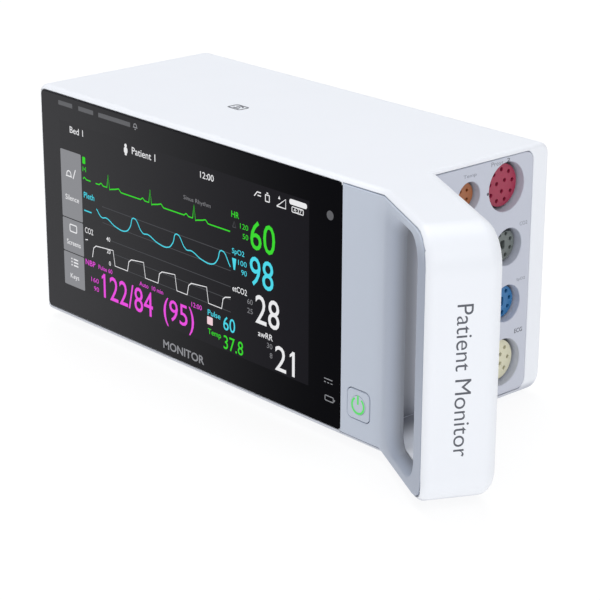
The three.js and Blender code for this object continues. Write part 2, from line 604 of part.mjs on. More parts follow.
function buildAirPort() {
  const back = insertBack;
  addNode('cuff_air_port', cut(join(
    rod(planes.side, airPort.y, airPortZ, airPort.radius - gap, back, insertFront - airPort.length / 2, 32),
    rod(planes.side, airPort.y, airPortZ, airPort.collar, insertFront - airPort.length, insertFront
      - airPort.length / 4, 24),
    rod(planes.side, airPort.y, airPortZ, airPort.nozzle, back - airPort.length, insertFront, 20),
  ), rod(planes.side, airPort.y, airPortZ, airPort.bore, back - airPort.length - 1, insertFront + 1, 16)),
  finishes.aluminium);
  const area = [measureBoard.front, body.depth - measureBoard.rear, bottom + measureBoard.margin,
    top - measureBoard.margin];
  addNode('measurement_board', cut(extrude(rectangle(area), planes.side, measureBoardX, measureBoardX
    + board.thickness), rod(planes.side, airPort.y, airPortZ, measureBoard.portHole, measureBoardX - 1,
    measureBoardX + board.thickness + 1, 20)), finishes.circuit);
}

// ---------------------------------------------------------------- blood-pressure pump, valves and tubing
function buildPump() {
  const z = bottom + pump.height + pump.radius;
  const y = linkFront - pump.behind - pump.radius;
  const pumpEnd = pump.x + pump.length;
  const rotorStart = pumpEnd + gap * 2;
  const rotorEnd = rotorStart + pump.rotorWidth;
  const motorStart = rotorEnd + gap * 2;
  const motorEnd = motorStart + pump.motor;
  const outletX = pump.x + pump.length / 2;
  const outletTop = z + pump.radius + tube.rise / 2;
  addNode('pump_body', cut(join(
    rod(planes.side, y, z, pump.radius, pump.x, pumpEnd, 28),
    rod(planes.plan, outletX, y, tube.outer, z, outletTop, 16),
  ), rod(planes.side, y, z, pump.crank + pump.pin + gap * 2, pumpEnd - pump.crank, pumpEnd + 1, 24)),
  finishes.dark);
  addNode('pump_rotor', join(
    rod(planes.side, y, z, pump.rotor, rotorStart, rotorEnd, 28),
    rod(planes.side, y, z + pump.crank, pump.pin, rotorStart - pump.crank / 2, rotorStart + 0.5, 12),
  ), finishes.steel);
  addNode('pump_motor', rod(planes.side, y, z, pump.radius, motorStart, motorEnd, 28),
    finishes.steel);
  const tubeStart = outletTop + gap;
  const portEnd = insertBack - airPort.length - gap;
  const level = tubeStart + tube.rise;
  const path = new THREE.CatmullRomCurve3([
    [outletX, y, tubeStart],
    [outletX, y, tubeStart + tube.rise / 2],
    [outletX + tube.shoulder, y, level],
    [motorEnd - tube.besideMotor, airPort.y, level],
    [motorEnd + tube.besideMotor, airPort.y, (level + airPortZ) / 2],
    [portEnd - tube.rise / 2, airPort.y, airPortZ],
    [portEnd, airPort.y, airPortZ],
  ].map((point) => new THREE.Vector3(...point)));
  const section = new THREE.Shape(circle(0, 0, tube.outer, 10));
  addNode('air_tube', toSolid(new THREE.ExtrudeGeometry(section, { steps: 36, extrudePath: path })),
    finishes.tubing);
  const valveZ = bottom + valves.z;
  const caps = [valves.capInset, valves.length - valves.capInset].map((offset) => rod(planes.plan,
    valves.x + offset, valves.y + valves.depth / 2, valves.capRadius, valveZ,
      valveZ + valves.height + valves.capHeight, 20));
  addNode('valve_block', join(box(valves.x, valves.x + valves.length, valves.y, valves.y + valves.depth,
    valveZ,
    valveZ + valves.height), ...caps), finishes.aluminium);
}

// ---------------------------------------------------------------- left side: battery, eject button, speaker
function buildBattery() {
  const start = gap;
  const end = start + battery.length;
  const fingerNotch = box(start - 1, start + battery.notchDepth, batteryArea[0] + battery.depth / 3,
    batteryArea[1] - battery.depth / 3, batteryArea[3] - battery.notchHeight, batteryArea[3] + 1);
  addNode('battery_pack', cut(extrude(roundedOutline(batteryArea, battery.radius), planes.side, start,
    end), fingerNotch),
    finishes.dark);
  const hollow = grow(batteryArea, battery.clearance);
  const outer = grow(hollow, sleeve.wall);
  const sleeveStart = body.wall + gap;
  const sleeveEnd = end + battery.clearance + sleeve.contactDepth + sleeve.end + gap * 2;
  const slot = box(batteryCatch.x - batteryCatch.width / 2 - gap,
    batteryCatch.x + batteryCatch.width / 2 + gap,
    eject.y - sleeve.catchSlot / 2, eject.y + sleeve.catchSlot / 2, batteryArea[3], outer[3] + 1);
  addNode('battery_sleeve', cut(extrude(rectangle(outer), planes.side, sleeveStart, sleeveEnd),
    extrude(rectangle(hollow), planes.side, 0, sleeveEnd - sleeve.end), slot), finishes.panel);
  const contactArea = grow(batteryArea, -battery.height / 4);
  addNode('battery_contacts', extrude(rectangle(contactArea), planes.side, end + battery.clearance + gap,
    end + battery.clearance + gap + sleeve.contactDepth), finishes.brass);

  const flangeStart = body.wall + gap;
  const flangeEnd = flangeStart + eject.flange;
  addNode('battery_eject_button', join(
    extrude(roundedOutline(ejectArea, eject.radius - gap), planes.side, gap / 2, flangeEnd),
    extrude(rectangle(grow(ejectArea, eject.lip)), planes.side, flangeStart, flangeEnd),
    rod(planes.side, eject.y, ejectZ, eject.height / 4, flangeStart, flangeEnd + eject.stem / 3, 12),
  ), finishes.dark);
  const springStart = flangeEnd + eject.stem / 3 + eject.travel + gap;
  addNode('battery_eject_spring', cut(
    rod(planes.side, eject.y, ejectZ, latchSpring.outer, springStart, springStart + latchSpring.length, 16),
    rod(planes.side, eject.y, ejectZ, latchSpring.inner, springStart - 1,
      springStart + latchSpring.length + 1, 16),
  ), finishes.steel);
  const catchBottom = outer[3] + gap;
  const toothTop = catchBottom + 0.2;
  addNode('battery_catch', join(
    box(batteryCatch.x - batteryCatch.width, batteryCatch.x + batteryCatch.width,
      eject.y - batteryCatch.depth / 2,
      eject.y + batteryCatch.depth / 2, catchBottom, catchBottom + sleeve.wall),
    box(batteryCatch.x - batteryCatch.width / 2, batteryCatch.x + batteryCatch.width / 2,
      eject.y - batteryCatch.depth / 2, eject.y + batteryCatch.depth / 2, batteryArea[3] + battery.clearance,
      toothTop),
  ), finishes.steel);

  const speakerZ = bottom + speaker.z;
  const speakerStart = body.wall + gap;
  addNode('speaker', join(
    rod(planes.side, speaker.y, speakerZ, speaker.radius, speakerStart, speakerStart + speaker.depth / 3,
      28),
    rod(planes.side, speaker.y, speakerZ, speaker.magnet, speakerStart, speakerStart + speaker.depth, 24),
  ), finishes.dark);
}

// ---------------------------------------- rear: quick-mount plate, latch, link connector
function buildMount() {
  const rails = [-1, 1].map((side) => {
    const centre = mount.x + side * (mount.width / 2 - mountScrew.insetX * 2 - mount.rail / 2);
    return box(centre - mount.rail / 2, centre + mount.rail / 2, mountOuter - mount.railDepth,
      mountOuter + 1,
      mountArea[2] - 1, mountArea[3] - mount.rail);
  });
  const holes = mountScrews.flatMap(([x, z]) => [
    rod(planes.front, x, z, mountScrew.shank + gap, mountInner - 1, mountOuter + 1, 12),
    rod(planes.front, x, z, mountScrew.head + gap, mountOuter - mountScrew.headHeight - gap,
      mountOuter + 1, 20),
  ]);
  const pawlSlot = box(mount.x - latch.pawlWidth / 2 - gap, mount.x + latch.pawlWidth / 2 + latch.travel
    + gap, mountInner - 1, mountOuter + 1, latchZ - latch.height / 2 - gap, latchZ + latch.height / 2 + gap);
  addNode('quick_mount_plate', cut(extrude(roundedOutline(mountArea, mount.radius - gap), planes.front,
    mountInner,
    mountOuter), pawlSlot, ...rails, ...holes), finishes.dark);
  mountScrews.forEach(([x, z], index) => {
    const headInner = mountOuter - mountScrew.headHeight;
    addNode(`mount_screw_${index + 1}`, join(
      rod(planes.front, x, z, mountScrew.head, headInner, mountOuter - gap, 20),
      rod(planes.front, x, z, mountScrew.shank, body.depth - mountScrew.length + 1, headInner + 0.1, 12),
    ), finishes.steel);
  });

  const barRear = rearInside - gap;
  const barFront = barRear - latch.thickness;
  const barStart = body.wall + gap + eject.flange + gap;
  const barEnd = mount.x + latch.pawlWidth;
  addNode('mount_pawl', join(
    box(barStart, barEnd, barFront, barRear, latchZ - latch.height / 2, latchZ + latch.height / 2),
    box(mount.x - latch.pawlWidth / 2, mount.x + latch.pawlWidth / 2, barFront, mountOuter - gap,
      latchZ - latch.height / 2, latchZ + latch.height / 2),
  ), finishes.steel);
  const flangeStart = body.wall + gap;
  const flangeArea = [latchButtonArea[0] - eject.lip, Math.min(latchButtonArea[1] + eject.lip,
    rearInside - gap),
    latchButtonArea[2] - eject.lip, latchButtonArea[3] + eject.lip];
  addNode('mount_release_button', join(
    extrude(roundedOutline(latchButtonArea, eject.radius - gap), planes.side, gap / 2,
      flangeStart + eject.flange),
    extrude(rectangle(flangeArea), planes.side, flangeStart, flangeStart + eject.flange),
  ), finishes.cover);
  const springY = (barFront + barRear) / 2;
  const springRadius = Math.min(latchSpring.outer, latch.thickness / 2);
  const springStart = barEnd + latch.travel + gap;
  addNode('mount_latch_spring', cut(
    rod(planes.side, springY, latchZ, springRadius, springStart, springStart + latchSpring.length, 16),
    rod(planes.side, springY, latchZ, springRadius - 0.5, springStart - 1,
      springStart + latchSpring.length + 1, 16),
  ), finishes.steel);
}

function buildLink() {
  addNode('link_connector', cut(
    extrude(rectangle(linkArea), planes.front, linkFront, linkRear),
    extrude(roundedOutline(grow(linkArea, -link.wall), 1.5), planes.front, linkRear - link.recess,
      body.depth),
  ), finishes.dark);
  const lidInner = hingeY - linkCover.thickness / 2;
  const lidArea = [linkArea[0] - link.rim / 2, linkArea[1] + link.rim, linkArea[2] - link.rim,
    linkArea[3] + link.rim];
  const knuckleArea = [linkZ - linkCover.knuckleLength / 2, linkZ + linkCover.knuckleLength / 2];
  addNode('link_cover', cut(join(
    extrude(rectangle(lidArea), planes.front, lidInner, lidInner + linkCover.thickness),
    box(hingeX, lidArea[0] + 0.5, lidInner, lidInner + linkCover.thickness, ...knuckleArea),
    rod(planes.plan, hingeX, hingeY, linkCover.knuckle, ...knuckleArea, 20),
  ), rod(planes.plan, hingeX, hingeY, linkCover.pin + linkCover.running, knuckleArea[0] - 1,
    knuckleArea[1] + 1, 20)),
  finishes.rubber);
  addNode('link_cover_pin', rod(planes.plan, hingeX, hingeY, linkCover.pin, linkPocket[2] + gap,
    linkPocket[3] - gap,
    20), finishes.steel);
}

function buildFeet() {
  feet.forEach(([x, y], index) => addNode(`foot_${index + 1}`, rod(planes.plan, x, y, foot.radius, 0,
    bottom + foot.recess - gap, 24), finishes.rubber));
}

addNode('main_housing', buildHousing(), finishes.housing);
addNode('front_cover', buildCover(), finishes.cover);
buildPowerButton();
buildBoards(buildDisplay());
buildConnectorPanel();
sockets.forEach(buildSocket);
buildAirPort();
buildPump();
buildBattery();
buildMount();
buildLink();
buildFeet();

// The origin is the middle of the model's box, at the level that the feet stand on.
const bounds = new THREE.Box3().setFromObject(monitor);
monitor.position.set(-(bounds.min.x + bounds.max.x) / 2, -(bounds.min.y + bounds.max.y) / 2, -bounds.min.z);

export default monitor;
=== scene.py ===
"""Visual model of a transport patient monitor, built around its packed frame."""

import json
import logging
import math
from dataclasses import dataclass, field
from enum import Enum
from typing import Any, Sequence

import bmesh
import bpy
from mathutils import Matrix, Vector
from mathutils.bvhtree import BVHTree


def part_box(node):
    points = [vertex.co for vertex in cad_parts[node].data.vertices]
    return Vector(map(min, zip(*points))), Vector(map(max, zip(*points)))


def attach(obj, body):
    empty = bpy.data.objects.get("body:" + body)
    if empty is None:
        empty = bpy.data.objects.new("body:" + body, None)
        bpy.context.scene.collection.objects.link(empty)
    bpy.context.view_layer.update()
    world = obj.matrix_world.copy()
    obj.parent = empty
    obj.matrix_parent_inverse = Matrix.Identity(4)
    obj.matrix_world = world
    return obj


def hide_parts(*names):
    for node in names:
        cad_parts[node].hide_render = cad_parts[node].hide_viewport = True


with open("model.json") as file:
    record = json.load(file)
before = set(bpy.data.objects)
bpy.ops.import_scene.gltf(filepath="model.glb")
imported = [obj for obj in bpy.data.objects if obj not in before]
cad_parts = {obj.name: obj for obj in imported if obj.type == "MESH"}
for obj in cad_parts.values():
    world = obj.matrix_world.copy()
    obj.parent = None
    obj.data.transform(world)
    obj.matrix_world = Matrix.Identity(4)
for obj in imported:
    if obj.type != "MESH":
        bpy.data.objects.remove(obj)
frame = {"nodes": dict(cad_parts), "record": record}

logging.basicConfig(level=logging.INFO, format="%(message)s")
log = logging.getLogger("monitor")

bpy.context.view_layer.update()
MM = 0.001
Point = tuple[float, float]
Span = tuple[float, float, float, float]


# ------------------------------------------------------------------ places
@dataclass(frozen=True)
class Plane:
    """A flat place to draw on, measured in millimetres."""

    origin: Vector
    across: Vector
    up: Vector

    def matrix(self, x: float = 0.0, y: float = 0.0, lift: float = 0.0) -> Matrix:
        """Places a drawing.

        Args:
            x: Millimetres along the plane's first axis.
            y: Millimetres along its second axis.
            lift: Millimetres out of the plane.

        Returns:
            The matrix from drawing space, in millimetres, to the frame.
        """
        turned = Matrix((self.across, self.up, self.across.cross(self.up))).transposed()
        at = (self.origin + turned @ Vector((x, y, lift))) * MM
        return Matrix.Translation(at) @ (turned * MM).to_4x4()


def box_mm(node: str) -> tuple[Vector, Vector]:
    """Measures a node of the frame.

    Args:
        node: The node's name.

    Returns:
        Its lowest and highest corner, in millimetres.
    """
    low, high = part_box(node)
    return low / MM, high / MM


class Layout:
    """Levels, axes and planes that the pieces share, read from the frame, in millimetres."""

    GAP = 0.3
    COVER_WIDTH = 19.4
    HANDLE_TURN = math.radians(27.5)
    HANDLE_REACH = 49.15
    X, Y, Z = Vector((1, 0, 0)), Vector((0, 1, 0)), Vector((0, 0, 1))

    def __init__(self) -> None:
        """Reads the main levels from the packed nodes."""
        housing = box_mm("main_housing")
        self.glass = box_mm("cover_glass")
        self.screen = box_mm("lcd_panel")
        self.left, self.base, self.top = housing[0].x, housing[0].z, housing[1].z
        self.front, self.rear = self.glass[0].y, box_mm("quick_mount_plate")[1].y
        self.side = box_mm("connector_panel")[1].x
        self.bend = Vector((self.glass[1].x + self.GAP + self.COVER_WIDTH, self.front, 0))
        self.along = Vector((math.cos(self.HANDLE_TURN), -math.sin(self.HANDLE_TURN), 0))
        self.inward = Vector((math.sin(self.HANDLE_TURN), math.cos(self.HANDLE_TURN), 0))
        corner = Vector((self.left, self.front, 0))
        self.front_plane = Plane(corner, self.X, self.Z)
        self.screen_plane = Plane(Vector((self.screen[0].x, self.front, self.screen[0].z)), self.X, self.Z)
        self.side_plane = Plane(Vector((self.side, self.front, 0)), self.Y, self.Z)
        self.left_plane = Plane(corner, -self.Y, self.Z)
        self.rear_plane = Plane(Vector((self.left, self.rear, 0)), -self.X, self.Z)
        self.top_plane = Plane(Vector((self.left, self.front, self.top)), self.X, self.Y)
        self.grip_plane = Plane(self.bend + self.along * self.HANDLE_REACH, -self.Z, self.inward)


# ------------------------------------------------------------------ shader maths
def srgb(code: str) -> tuple[float, float, float, float]:
    """Turns a display colour into the linear one that the shaders take.

    Args:
        code: Six hexadecimal digits.

    Returns:
        Linear red, green, blue and an alpha of 1.
    """
    parts = [int(code[i:i + 2], 16) / 255 for i in (0, 2, 4)]
    linear = [c / 12.92 if c <= 0.04045 else ((c + 0.055) / 1.055) ** 2.4 for c in parts]
    return (*linear, 1.0)


def operator(operation: str, swapped: bool = False) -> Any:
    """Makes an arithmetic method that adds one Math node.

    Args:
        operation: The node's operation.
        swapped: Whether the wrapped socket comes second.

    Returns:
        The method.
    """
    def method(this: "Val", other: Any) -> "Val":
        """Joins a wrapped socket with another value."""
        pair = (other, this) if swapped else (this, other)
        return this.shader.math(operation, *pair)
    return method


class Val:
    """A shader socket that carries a number and takes part in Python arithmetic."""

    def __init__(self, shader: "Shader", socket: bpy.types.NodeSocket) -> None:
        """Wraps a socket of a shader."""
        self.shader = shader
        self.socket = socket

    __add__ = operator("ADD")
    __radd__ = operator("ADD", swapped=True)
    __sub__ = operator("SUBTRACT")
    __rsub__ = operator("SUBTRACT", swapped=True)
    __mul__ = operator("MULTIPLY")
    __rmul__ = operator("MULTIPLY", swapped=True)
    __gt__ = operator("GREATER_THAN")
    __lt__ = operator("LESS_THAN")

    def ease(self, low: float, high: float) -> "Val":
        """Runs smoothly from 0 at one value to 1 at another.

        Args:
            low: The value that gives 0.
            high: The value that gives 1.

        Returns:
            The eased value.
        """
        made = self.shader.node("ShaderNodeMapRange", {"interpolation_type": "SMOOTHSTEP"},
                                {"Value": self, "From Min": low, "From Max": high})
        return Val(self.shader, made.outputs["Result"])


class Shader:
    """The node tree of one finish."""

    def __init__(self, name: str) -> None:
        """Starts a material with its Principled shader."""
        self.material = bpy.data.materials.new(name)
        self.material.use_nodes = True
        self.tree = self.material.node_tree
        self.surface = self.tree.nodes["Principled BSDF"]
        place = self.node("ShaderNodeTexCoord").outputs["Object"]
        scaled = self.node("ShaderNodeVectorMath", {"operation": "SCALE"}, {0: place, "Scale": 1 / MM})
        self.place = scaled.outputs["Vector"]

    def node(self, kind: str, settings: dict[str, Any] | None = None,
             values: dict[Any, Any] | None = None) -> bpy.types.Node:
        """Adds a node.

        Args:
            kind: Blender's name of the node type.
            settings: The node's own settings, which are set first.
            values: Numbers, colours or links for its input sockets.

        Returns:
            The new node.
        """
        made = self.tree.nodes.new(kind)
        for key, value in (settings or {}).items():
            setattr(made, key, value)
        for key, value in (values or {}).items():
            self.feed(made.inputs[key], value)
        return made

    def feed(self, socket: bpy.types.NodeSocket, value: Any) -> None:
        """Links or sets an input.

        Args:
            socket: The input.
            value: A wrapped value, a socket, or a plain number or colour.
        """
        if isinstance(value, Val):
            self.tree.links.new(value.socket, socket)
        elif isinstance(value, bpy.types.NodeSocket):
            self.tree.links.new(value, socket)
        else:
            socket.default_value = value

    def math(self, operation: str, first: Any, second: Any) -> Val:
        """Adds one Math node.

        Args:
            operation: The node's operation.
            first: Its first value.
            second: Its second value.

        Returns:
            The result.
        """
        made = self.node("ShaderNodeMath", {"operation": operation}, {0: first, 1: second})
        return Val(self, made.outputs[0])

    def axis(self, name: str) -> Val:
        """The place along one axis, in millimetres."""
        split = self.node("ShaderNodeSeparateXYZ", values={0: self.place})
        return Val(self, split.outputs[name])

    def handle_place(self) -> tuple[Val, Val, Val]:
        """Where the surface is, measured along the handle from the bend, into its face, and up."""
        x, y = self.axis("X") - LAYOUT.bend.x, self.axis("Y") - LAYOUT.bend.y
        along, inward = LAYOUT.along, LAYOUT.inward
        return x * along.x + y * along.y, x * inward.x + y * inward.y, self.axis("Z")

    def noise(self, size: float, detail: float = 2.0, stretch: Sequence[float] = (1, 1, 1)) -> Val:
        """Soft random variation, from 0 to 1.

        Args:
            size: Width of its blotches, in millimetres.
            detail: Octaves of finer variation.
            stretch: How much the pattern is squeezed along each axis.

        Returns:
            The variation.
        """
        mapped = self.node("ShaderNodeMapping", values={"Vector": self.place, "Scale": stretch})
        made = self.node("ShaderNodeTexNoise", values={
            "Vector": mapped.outputs[0], "Scale": 1 / size, "Detail": detail})
        return Val(self, made.outputs["Fac"])

    def blend(self, share: Any, first: Any, second: Any) -> bpy.types.NodeSocket:
        """Mixes two colours.

        Args:
            share: The second colour's share.
            first: The first colour.
            second: The second colour.

        Returns:
            The mixed colour's socket.
        """
        made = self.node("ShaderNodeMix", {"data_type": "RGBA"}, {0: share, 6: first, 7: second})
        return made.outputs[2]

    def bump(self, height: Val, depth: float) -> None:
        """Presses a height into the surface.

        Args:
            height: The height, from 0 to 1.
            depth: Its depth in millimetres.
        """
        made = self.node("ShaderNodeBump", values={
            "Height": height, "Distance": depth * MM, "Strength": 1.0})
        self.feed(self.surface.inputs["Normal"], made.outputs[0])

    def set(self, **values: Any) -> None:
        """Feeds inputs of the Principled shader, named with underscores for spaces."""
        for key, value in values.items():
            self.feed(self.surface.inputs[key.replace("_", " ")], value)


# ------------------------------------------------------------------ finishes
@dataclass(frozen=True)
class Finish:
    """A moulded finish: a colour with slight unevenness and a fine moulded grain."""

    name: str
    colour: str
    roughness: float = 0.45
    metallic: float = 0.0
    specular: float = 0.5
    coat: float = 0.0
    uneven: float = 0.05
    uneven_size: float = 22.0
    uneven_detail: float = 3.0
    grain: float = 0.006
    grain_size: float = 0.5
    grain_stretch: tuple[float, float, float] = (1, 1, 1)
    gloss_change: float = 0.08
    coat_roughness: float = 0.05
    glow: float = 0.0
    slot: str = ""
    made: dict[str, bpy.types.Material] = field(default_factory=dict, compare=False, repr=False)

    def record_slot(self) -> str:
        """The material slot of the record that the finish belongs to."""
        return self.slot or self.name

    def material(self) -> bpy.types.Material:
        """Makes the material once, and gives the same one after that."""
        if self.name not in self.made:
            shader = Shader(self.name)
            self.paint(shader)
            self.made[self.name] = shader.material
        return self.made[self.name]

    def tone(self, shader: Shader) -> Any:
        """The colour over the surface.

        Args:
            shader: The shader that is painted.

        Returns:
            A colour or its socket.
        """
        return shader.blend(shader.noise(self.uneven_size, self.uneven_detail), *self.shades())

    def shades(self) -> tuple[tuple[float, ...], tuple[float, ...]]:
        """The colour and its slightly darker shade."""
        base = srgb(self.colour)
        return base, tuple(part * (1 - self.uneven) for part in base[:3]) + (1.0,)

    def coat_share(self, shader: Shader) -> Any:
        """How glossy the clear coat is over the surface."""
        return self.coat

    def paint(self, shader: Shader) -> None:
        """Sets colour, gloss and grain.

        Args:
            shader: The shader that is painted.
        """
        grain = shader.noise(self.grain_size, stretch=self.grain_stretch)
        shader.set(
            Base_Color=self.tone(shader),
            Roughness=self.roughness + (grain - 0.5) * self.gloss_change,
            Metallic=self.metallic,
            Specular_IOR_Level=self.specular,
            Coat_Weight=self.coat_share(shader),
            Coat_Roughness=self.coat_roughness,
            Emission_Color=(1.0, 1.0, 1.0, 1.0),
            Emission_Strength=self.glow,
        )
        shader.bump(grain, self.grain)


@dataclass(frozen=True)
class PaintedShadeFinish(Finish):
    """A moulded finish with painted shade: darker in the finger space, in the corner behind the handle and
    towards the underside.
    """

    # Painted shade: the colour that the finger space and the corner behind the handle darken to.
    deep: str = "7A7D86"
    opening: tuple[float, float] = (9.9, 91.1)
    tolerance: float = 0.4
    beside: tuple[float, float] = (3.0, 17.0)
    depths: tuple[float, float] = (1.5, 4.2)
    rear_end: tuple[float, float] = (18.0, 28.0)
    # Painted shade: the colour that the underside darkens to.
    underside_shade: str = "B4B8C4"
    underside: tuple[float, float] = (0.4, 3.4)

    def tone(self, shader: Shader) -> Any:
        """The plain tone with painted shade behind the handle's face and towards the underside."""
        _, depth, level = shader.handle_place()
        x, y = shader.axis("X") - LAYOUT.side, shader.axis("Y") - LAYOUT.front
        # Painted shade masks: the finger space and the corner behind the handle, then the underside.
        inside = (x > -self.tolerance) * (1 - x.ease(*self.beside))
        between = (level > self.opening[0]) * (level < self.opening[1])
        share = inside * between * depth.ease(*self.depths) * (1 - y.ease(*self.rear_end))
        low = 1 - (level - LAYOUT.base).ease(*self.underside)
        side = shader.blend(low, super().tone(shader), srgb(self.underside_shade))
        return shader.blend(share, side, srgb(self.deep))


@dataclass(frozen=True)
class CoverFinish(Finish):
    """The front plate's finish, with painted shade towards the finger window and down into it."""

    # Painted shade beside the finger window.
    window_shade: str = "9DA5B6"
    window_shade_share: float = 0.8
    # Deeper painted shade down the window's lip.
    deep: str = "7E828B"
    from_bend: tuple[float, float] = (-5.0, 12.0)
    below: tuple[float, float] = (-8.0, 9.0)
    above: tuple[float, float] = (86.0, 95.5)
    lip: tuple[float, float] = (0.3, 4.6)

    def tone(self, shader: Shader) -> Any:
        """The plain tone, with painted shade beside the window and down its lip."""
        reach, depth, level = shader.handle_place()
        # Painted shade beside the finger window, then deeper painted shade down its lip.
        around = reach.ease(*self.from_bend) * level.ease(*self.below) * (1 - level.ease(*self.above))
        face = shader.blend(around * self.window_shade_share, super().tone(shader), srgb(self.window_shade))
        return shader.blend(depth.ease(*self.lip) * (reach > self.from_bend[0]), face, srgb(self.deep))


@dataclass(frozen=True)
class GlassFinish(Finish):
    """Cover glass printed black on its back, with the slightly lighter display area in it and a painted
    reflection that is lightest at the left.
    """

    # Painted reflection: the glass colour and this display colour are the lighter left end, dim and
    # display_dim the darker right end.
    display: str = "1E1E22"
    dim: str = "08080C"
    display_dim: str = "1B1A1F"
    least_coat: float = 0.04

    def tone(self, shader: Shader) -> Any:
        """A painted reflection makes the black print and the display area lighter at the left and darker to
        the right; the display area is lighter than the print.
        """
        low, high = LAYOUT.screen
        x, z = shader.axis("X"), shader.axis("Z")
        inside = (x > low.x) * (x < high.x) * (z > low.z) * (z < high.z)
        # Painted reflection: lighter at the left, darker to the right.
        reflection_fade = self.reflection_fade(shader)
        rim = shader.blend(reflection_fade, srgb(self.colour), srgb(self.dim))
        lit = shader.blend(reflection_fade, srgb(self.display), srgb(self.display_dim))
        return shader.blend(inside, rim, lit)

    def coat_share(self, shader: Shader) -> Any:
        """The gloss is strongest at the left and dies away to the right."""
        return self.least_coat + (1 - self.reflection_fade(shader)) * self.coat

    def reflection_fade(self, shader: Shader) -> Val:
        """Runs from 0 at the glass's left edge to 1 at its right edge, the falloff of the painted
        reflection.
        """
        return shader.axis("X").ease(LAYOUT.glass[0].x, LAYOUT.glass[1].x)


@dataclass(frozen=True)
class LitFinish(Finish):
    """Something that shines by itself, such as the display's picture or the key's symbol."""

    strength: float = 1.0
    unlit: tuple[float, ...] = (0.01, 0.01, 0.012, 1.0)
    gloss_change: float = 0.04

    def paint(self, shader: Shader) -> None:
        """Lets the colour shine from a dark surface."""
        glow = shader.noise(self.grain_size, 1.0)
        shader.set(
            Base_Color=self.unlit,
            Roughness=self.roughness + (glow - 0.5) * self.gloss_change,
            Emission_Color=shader.blend(glow, *self.shades()),
            Emission_Strength=self.strength,
            Specular_IOR_Level=self.specular,
        )


@dataclass(frozen=True)
class BoardFinish(Finish):
    """A circuit board: solder mask with copper tracks and tinned pads."""

    track: str = "2F8A4C"
    pad: str = "C8C9C4"
    pad_size: float = 0.14
    track_offset: float = 0.37
    track_width: float = 0.06
    track_scale: float = 0.35
    pad_scale: float = 0.4

    def tone(self, shader: Shader) -> Any:
        """Green mask, lighter tracks in a grid of runs, and bright pads."""
        tracks = shader.node("ShaderNodeTexBrick", {"offset": self.track_offset}, {
            "Vector": shader.place, "Scale": self.track_scale, "Mortar Size": self.track_width, "Bias": 0.0})
        pads = shader.node("ShaderNodeTexVoronoi", values={
            "Vector": shader.place, "Scale": self.pad_scale})
        mask = shader.blend(Val(shader, tracks.outputs["Fac"]), srgb(self.colour), srgb(self.track))
        return shader.blend(Val(shader, pads.outputs["Distance"]) < self.pad_size, mask, srgb(self.pad))


class Finishes:
    """Every finish on the monitor; the first one with a slot is also the slot's own."""

    # The housing and the panel carry painted shade near the handle and underneath.
    housing = PaintedShadeFinish("housing_white", "F2F5FB", 0.38, uneven=0.02, grain=0.003)
    # The cover carries painted shade by the finger window.
    cover = CoverFinish("cover_grey", "C4CCDA", uneven=0.03, grain=0.004)
    panel = PaintedShadeFinish("panel_grey", "C7CBD8", 0.5, uneven=0.04)
    # The glass carries a painted reflection, lightest at the left.
    glass = GlassFinish("screen_glass", "222226", 0.1, specular=0.0, coat=0.45, grain=0.0, grain_size=4.0)
    display = Finish("display_layer", "26262C", 0.3, slot="display")
    diffuser = Finish("light_diffuser", "9AA0A8", 0.3, specular=0.6)
    dark = Finish("dark_plastic", "34363A", 0.55, uneven=0.12, grain=0.012)
    # Black plastic for the link tongue, and painted shade for the floors of the socket recesses.
    black_plastic_and_shade = Finish("black_plastic_and_recess_shade", "0D0D0F", 0.7, uneven=0.2, slot="dark_plastic")
    rubber = Finish("rubber", "4A4C50", 0.8, uneven=0.1, grain=0.015, grain_size=0.3, specular=0.3)
    board = BoardFinish("circuit_board", "175A30", 0.4)
    aluminium = Finish("aluminium", "B8BABD", 0.35, 1.0, uneven=0.08, grain=0.004,
                       grain_stretch=(0.05, 1, 1))
    steel = Finish("steel", "C4C6C9", 0.28, 1.0, uneven=0.1, grain=0.003, grain_stretch=(1, 0.1, 1))
    brass = Finish("brass", "D0A85A", 0.3, 1.0, uneven=0.08)
    tubing = Finish("tubing", "D8D8D0", 0.5, specular=0.4)
    ink = Finish("printed_ink", "5A5D66", 0.6, uneven=0.06, grain=0.001, slot="dark_plastic")
    faint = Finish("faint_ink", "9094A0", 0.6, uneven=0.08, grain=0.001, slot="dark_plastic")
    glass_print = Finish("glass_print", "8C8D92", 0.2, grain=0.001, slot="light_diffuser")
    lamp_off = Finish("lamp_off", "4E4F54", 0.2, uneven=0.12, grain=0.001, slot="light_diffuser")
    key_light = LitFinish("symbol_green", "4BE05A", 0.3, strength=0.95, uneven=0.1)
    red = Finish("socket_red", "A3284A", 0.4, uneven=0.1)
    grey = Finish("socket_grey", "6F7674", uneven=0.1)
    blue = Finish("socket_blue", "2E74AC", 0.4, uneven=0.1)
    cream = Finish("socket_cream", "DCD9BE", uneven=0.06)
    brown = Finish("socket_brown", "A9673F", uneven=0.1)


def picture(name: str, colour: str, strength: float = 0.95, uneven: float = 0.06) -> LitFinish:
    """Makes the finish of one ink in the display's picture.

    Args:
        name: What the ink is called.
        colour: Its display colour.
        strength: How brightly it shines.
        uneven: How much darker its darkest spots are.

    Returns:
        The finish.
    """
    return LitFinish(f"picture_{name}", colour, 0.12, strength=strength, uneven=uneven, specular=0.0,
                     slot="display")


class Ink(Enum):
    """Colours of the display's picture."""

    WHITE = picture("white", "F2F2F4")
    GREY = picture("grey", "8E8E92", 0.8)
    DIM = picture("dim", "5E5F63", 0.6)
    KEYS = picture("keys", "98999D", 0.85, 0.05)
    GREEN = picture("green", "3BE02C")
    CYAN = picture("cyan", "4FE0F2")
    MAGENTA = picture("magenta", "F452E8")
    PINK = picture("pink", "F8D8E0")


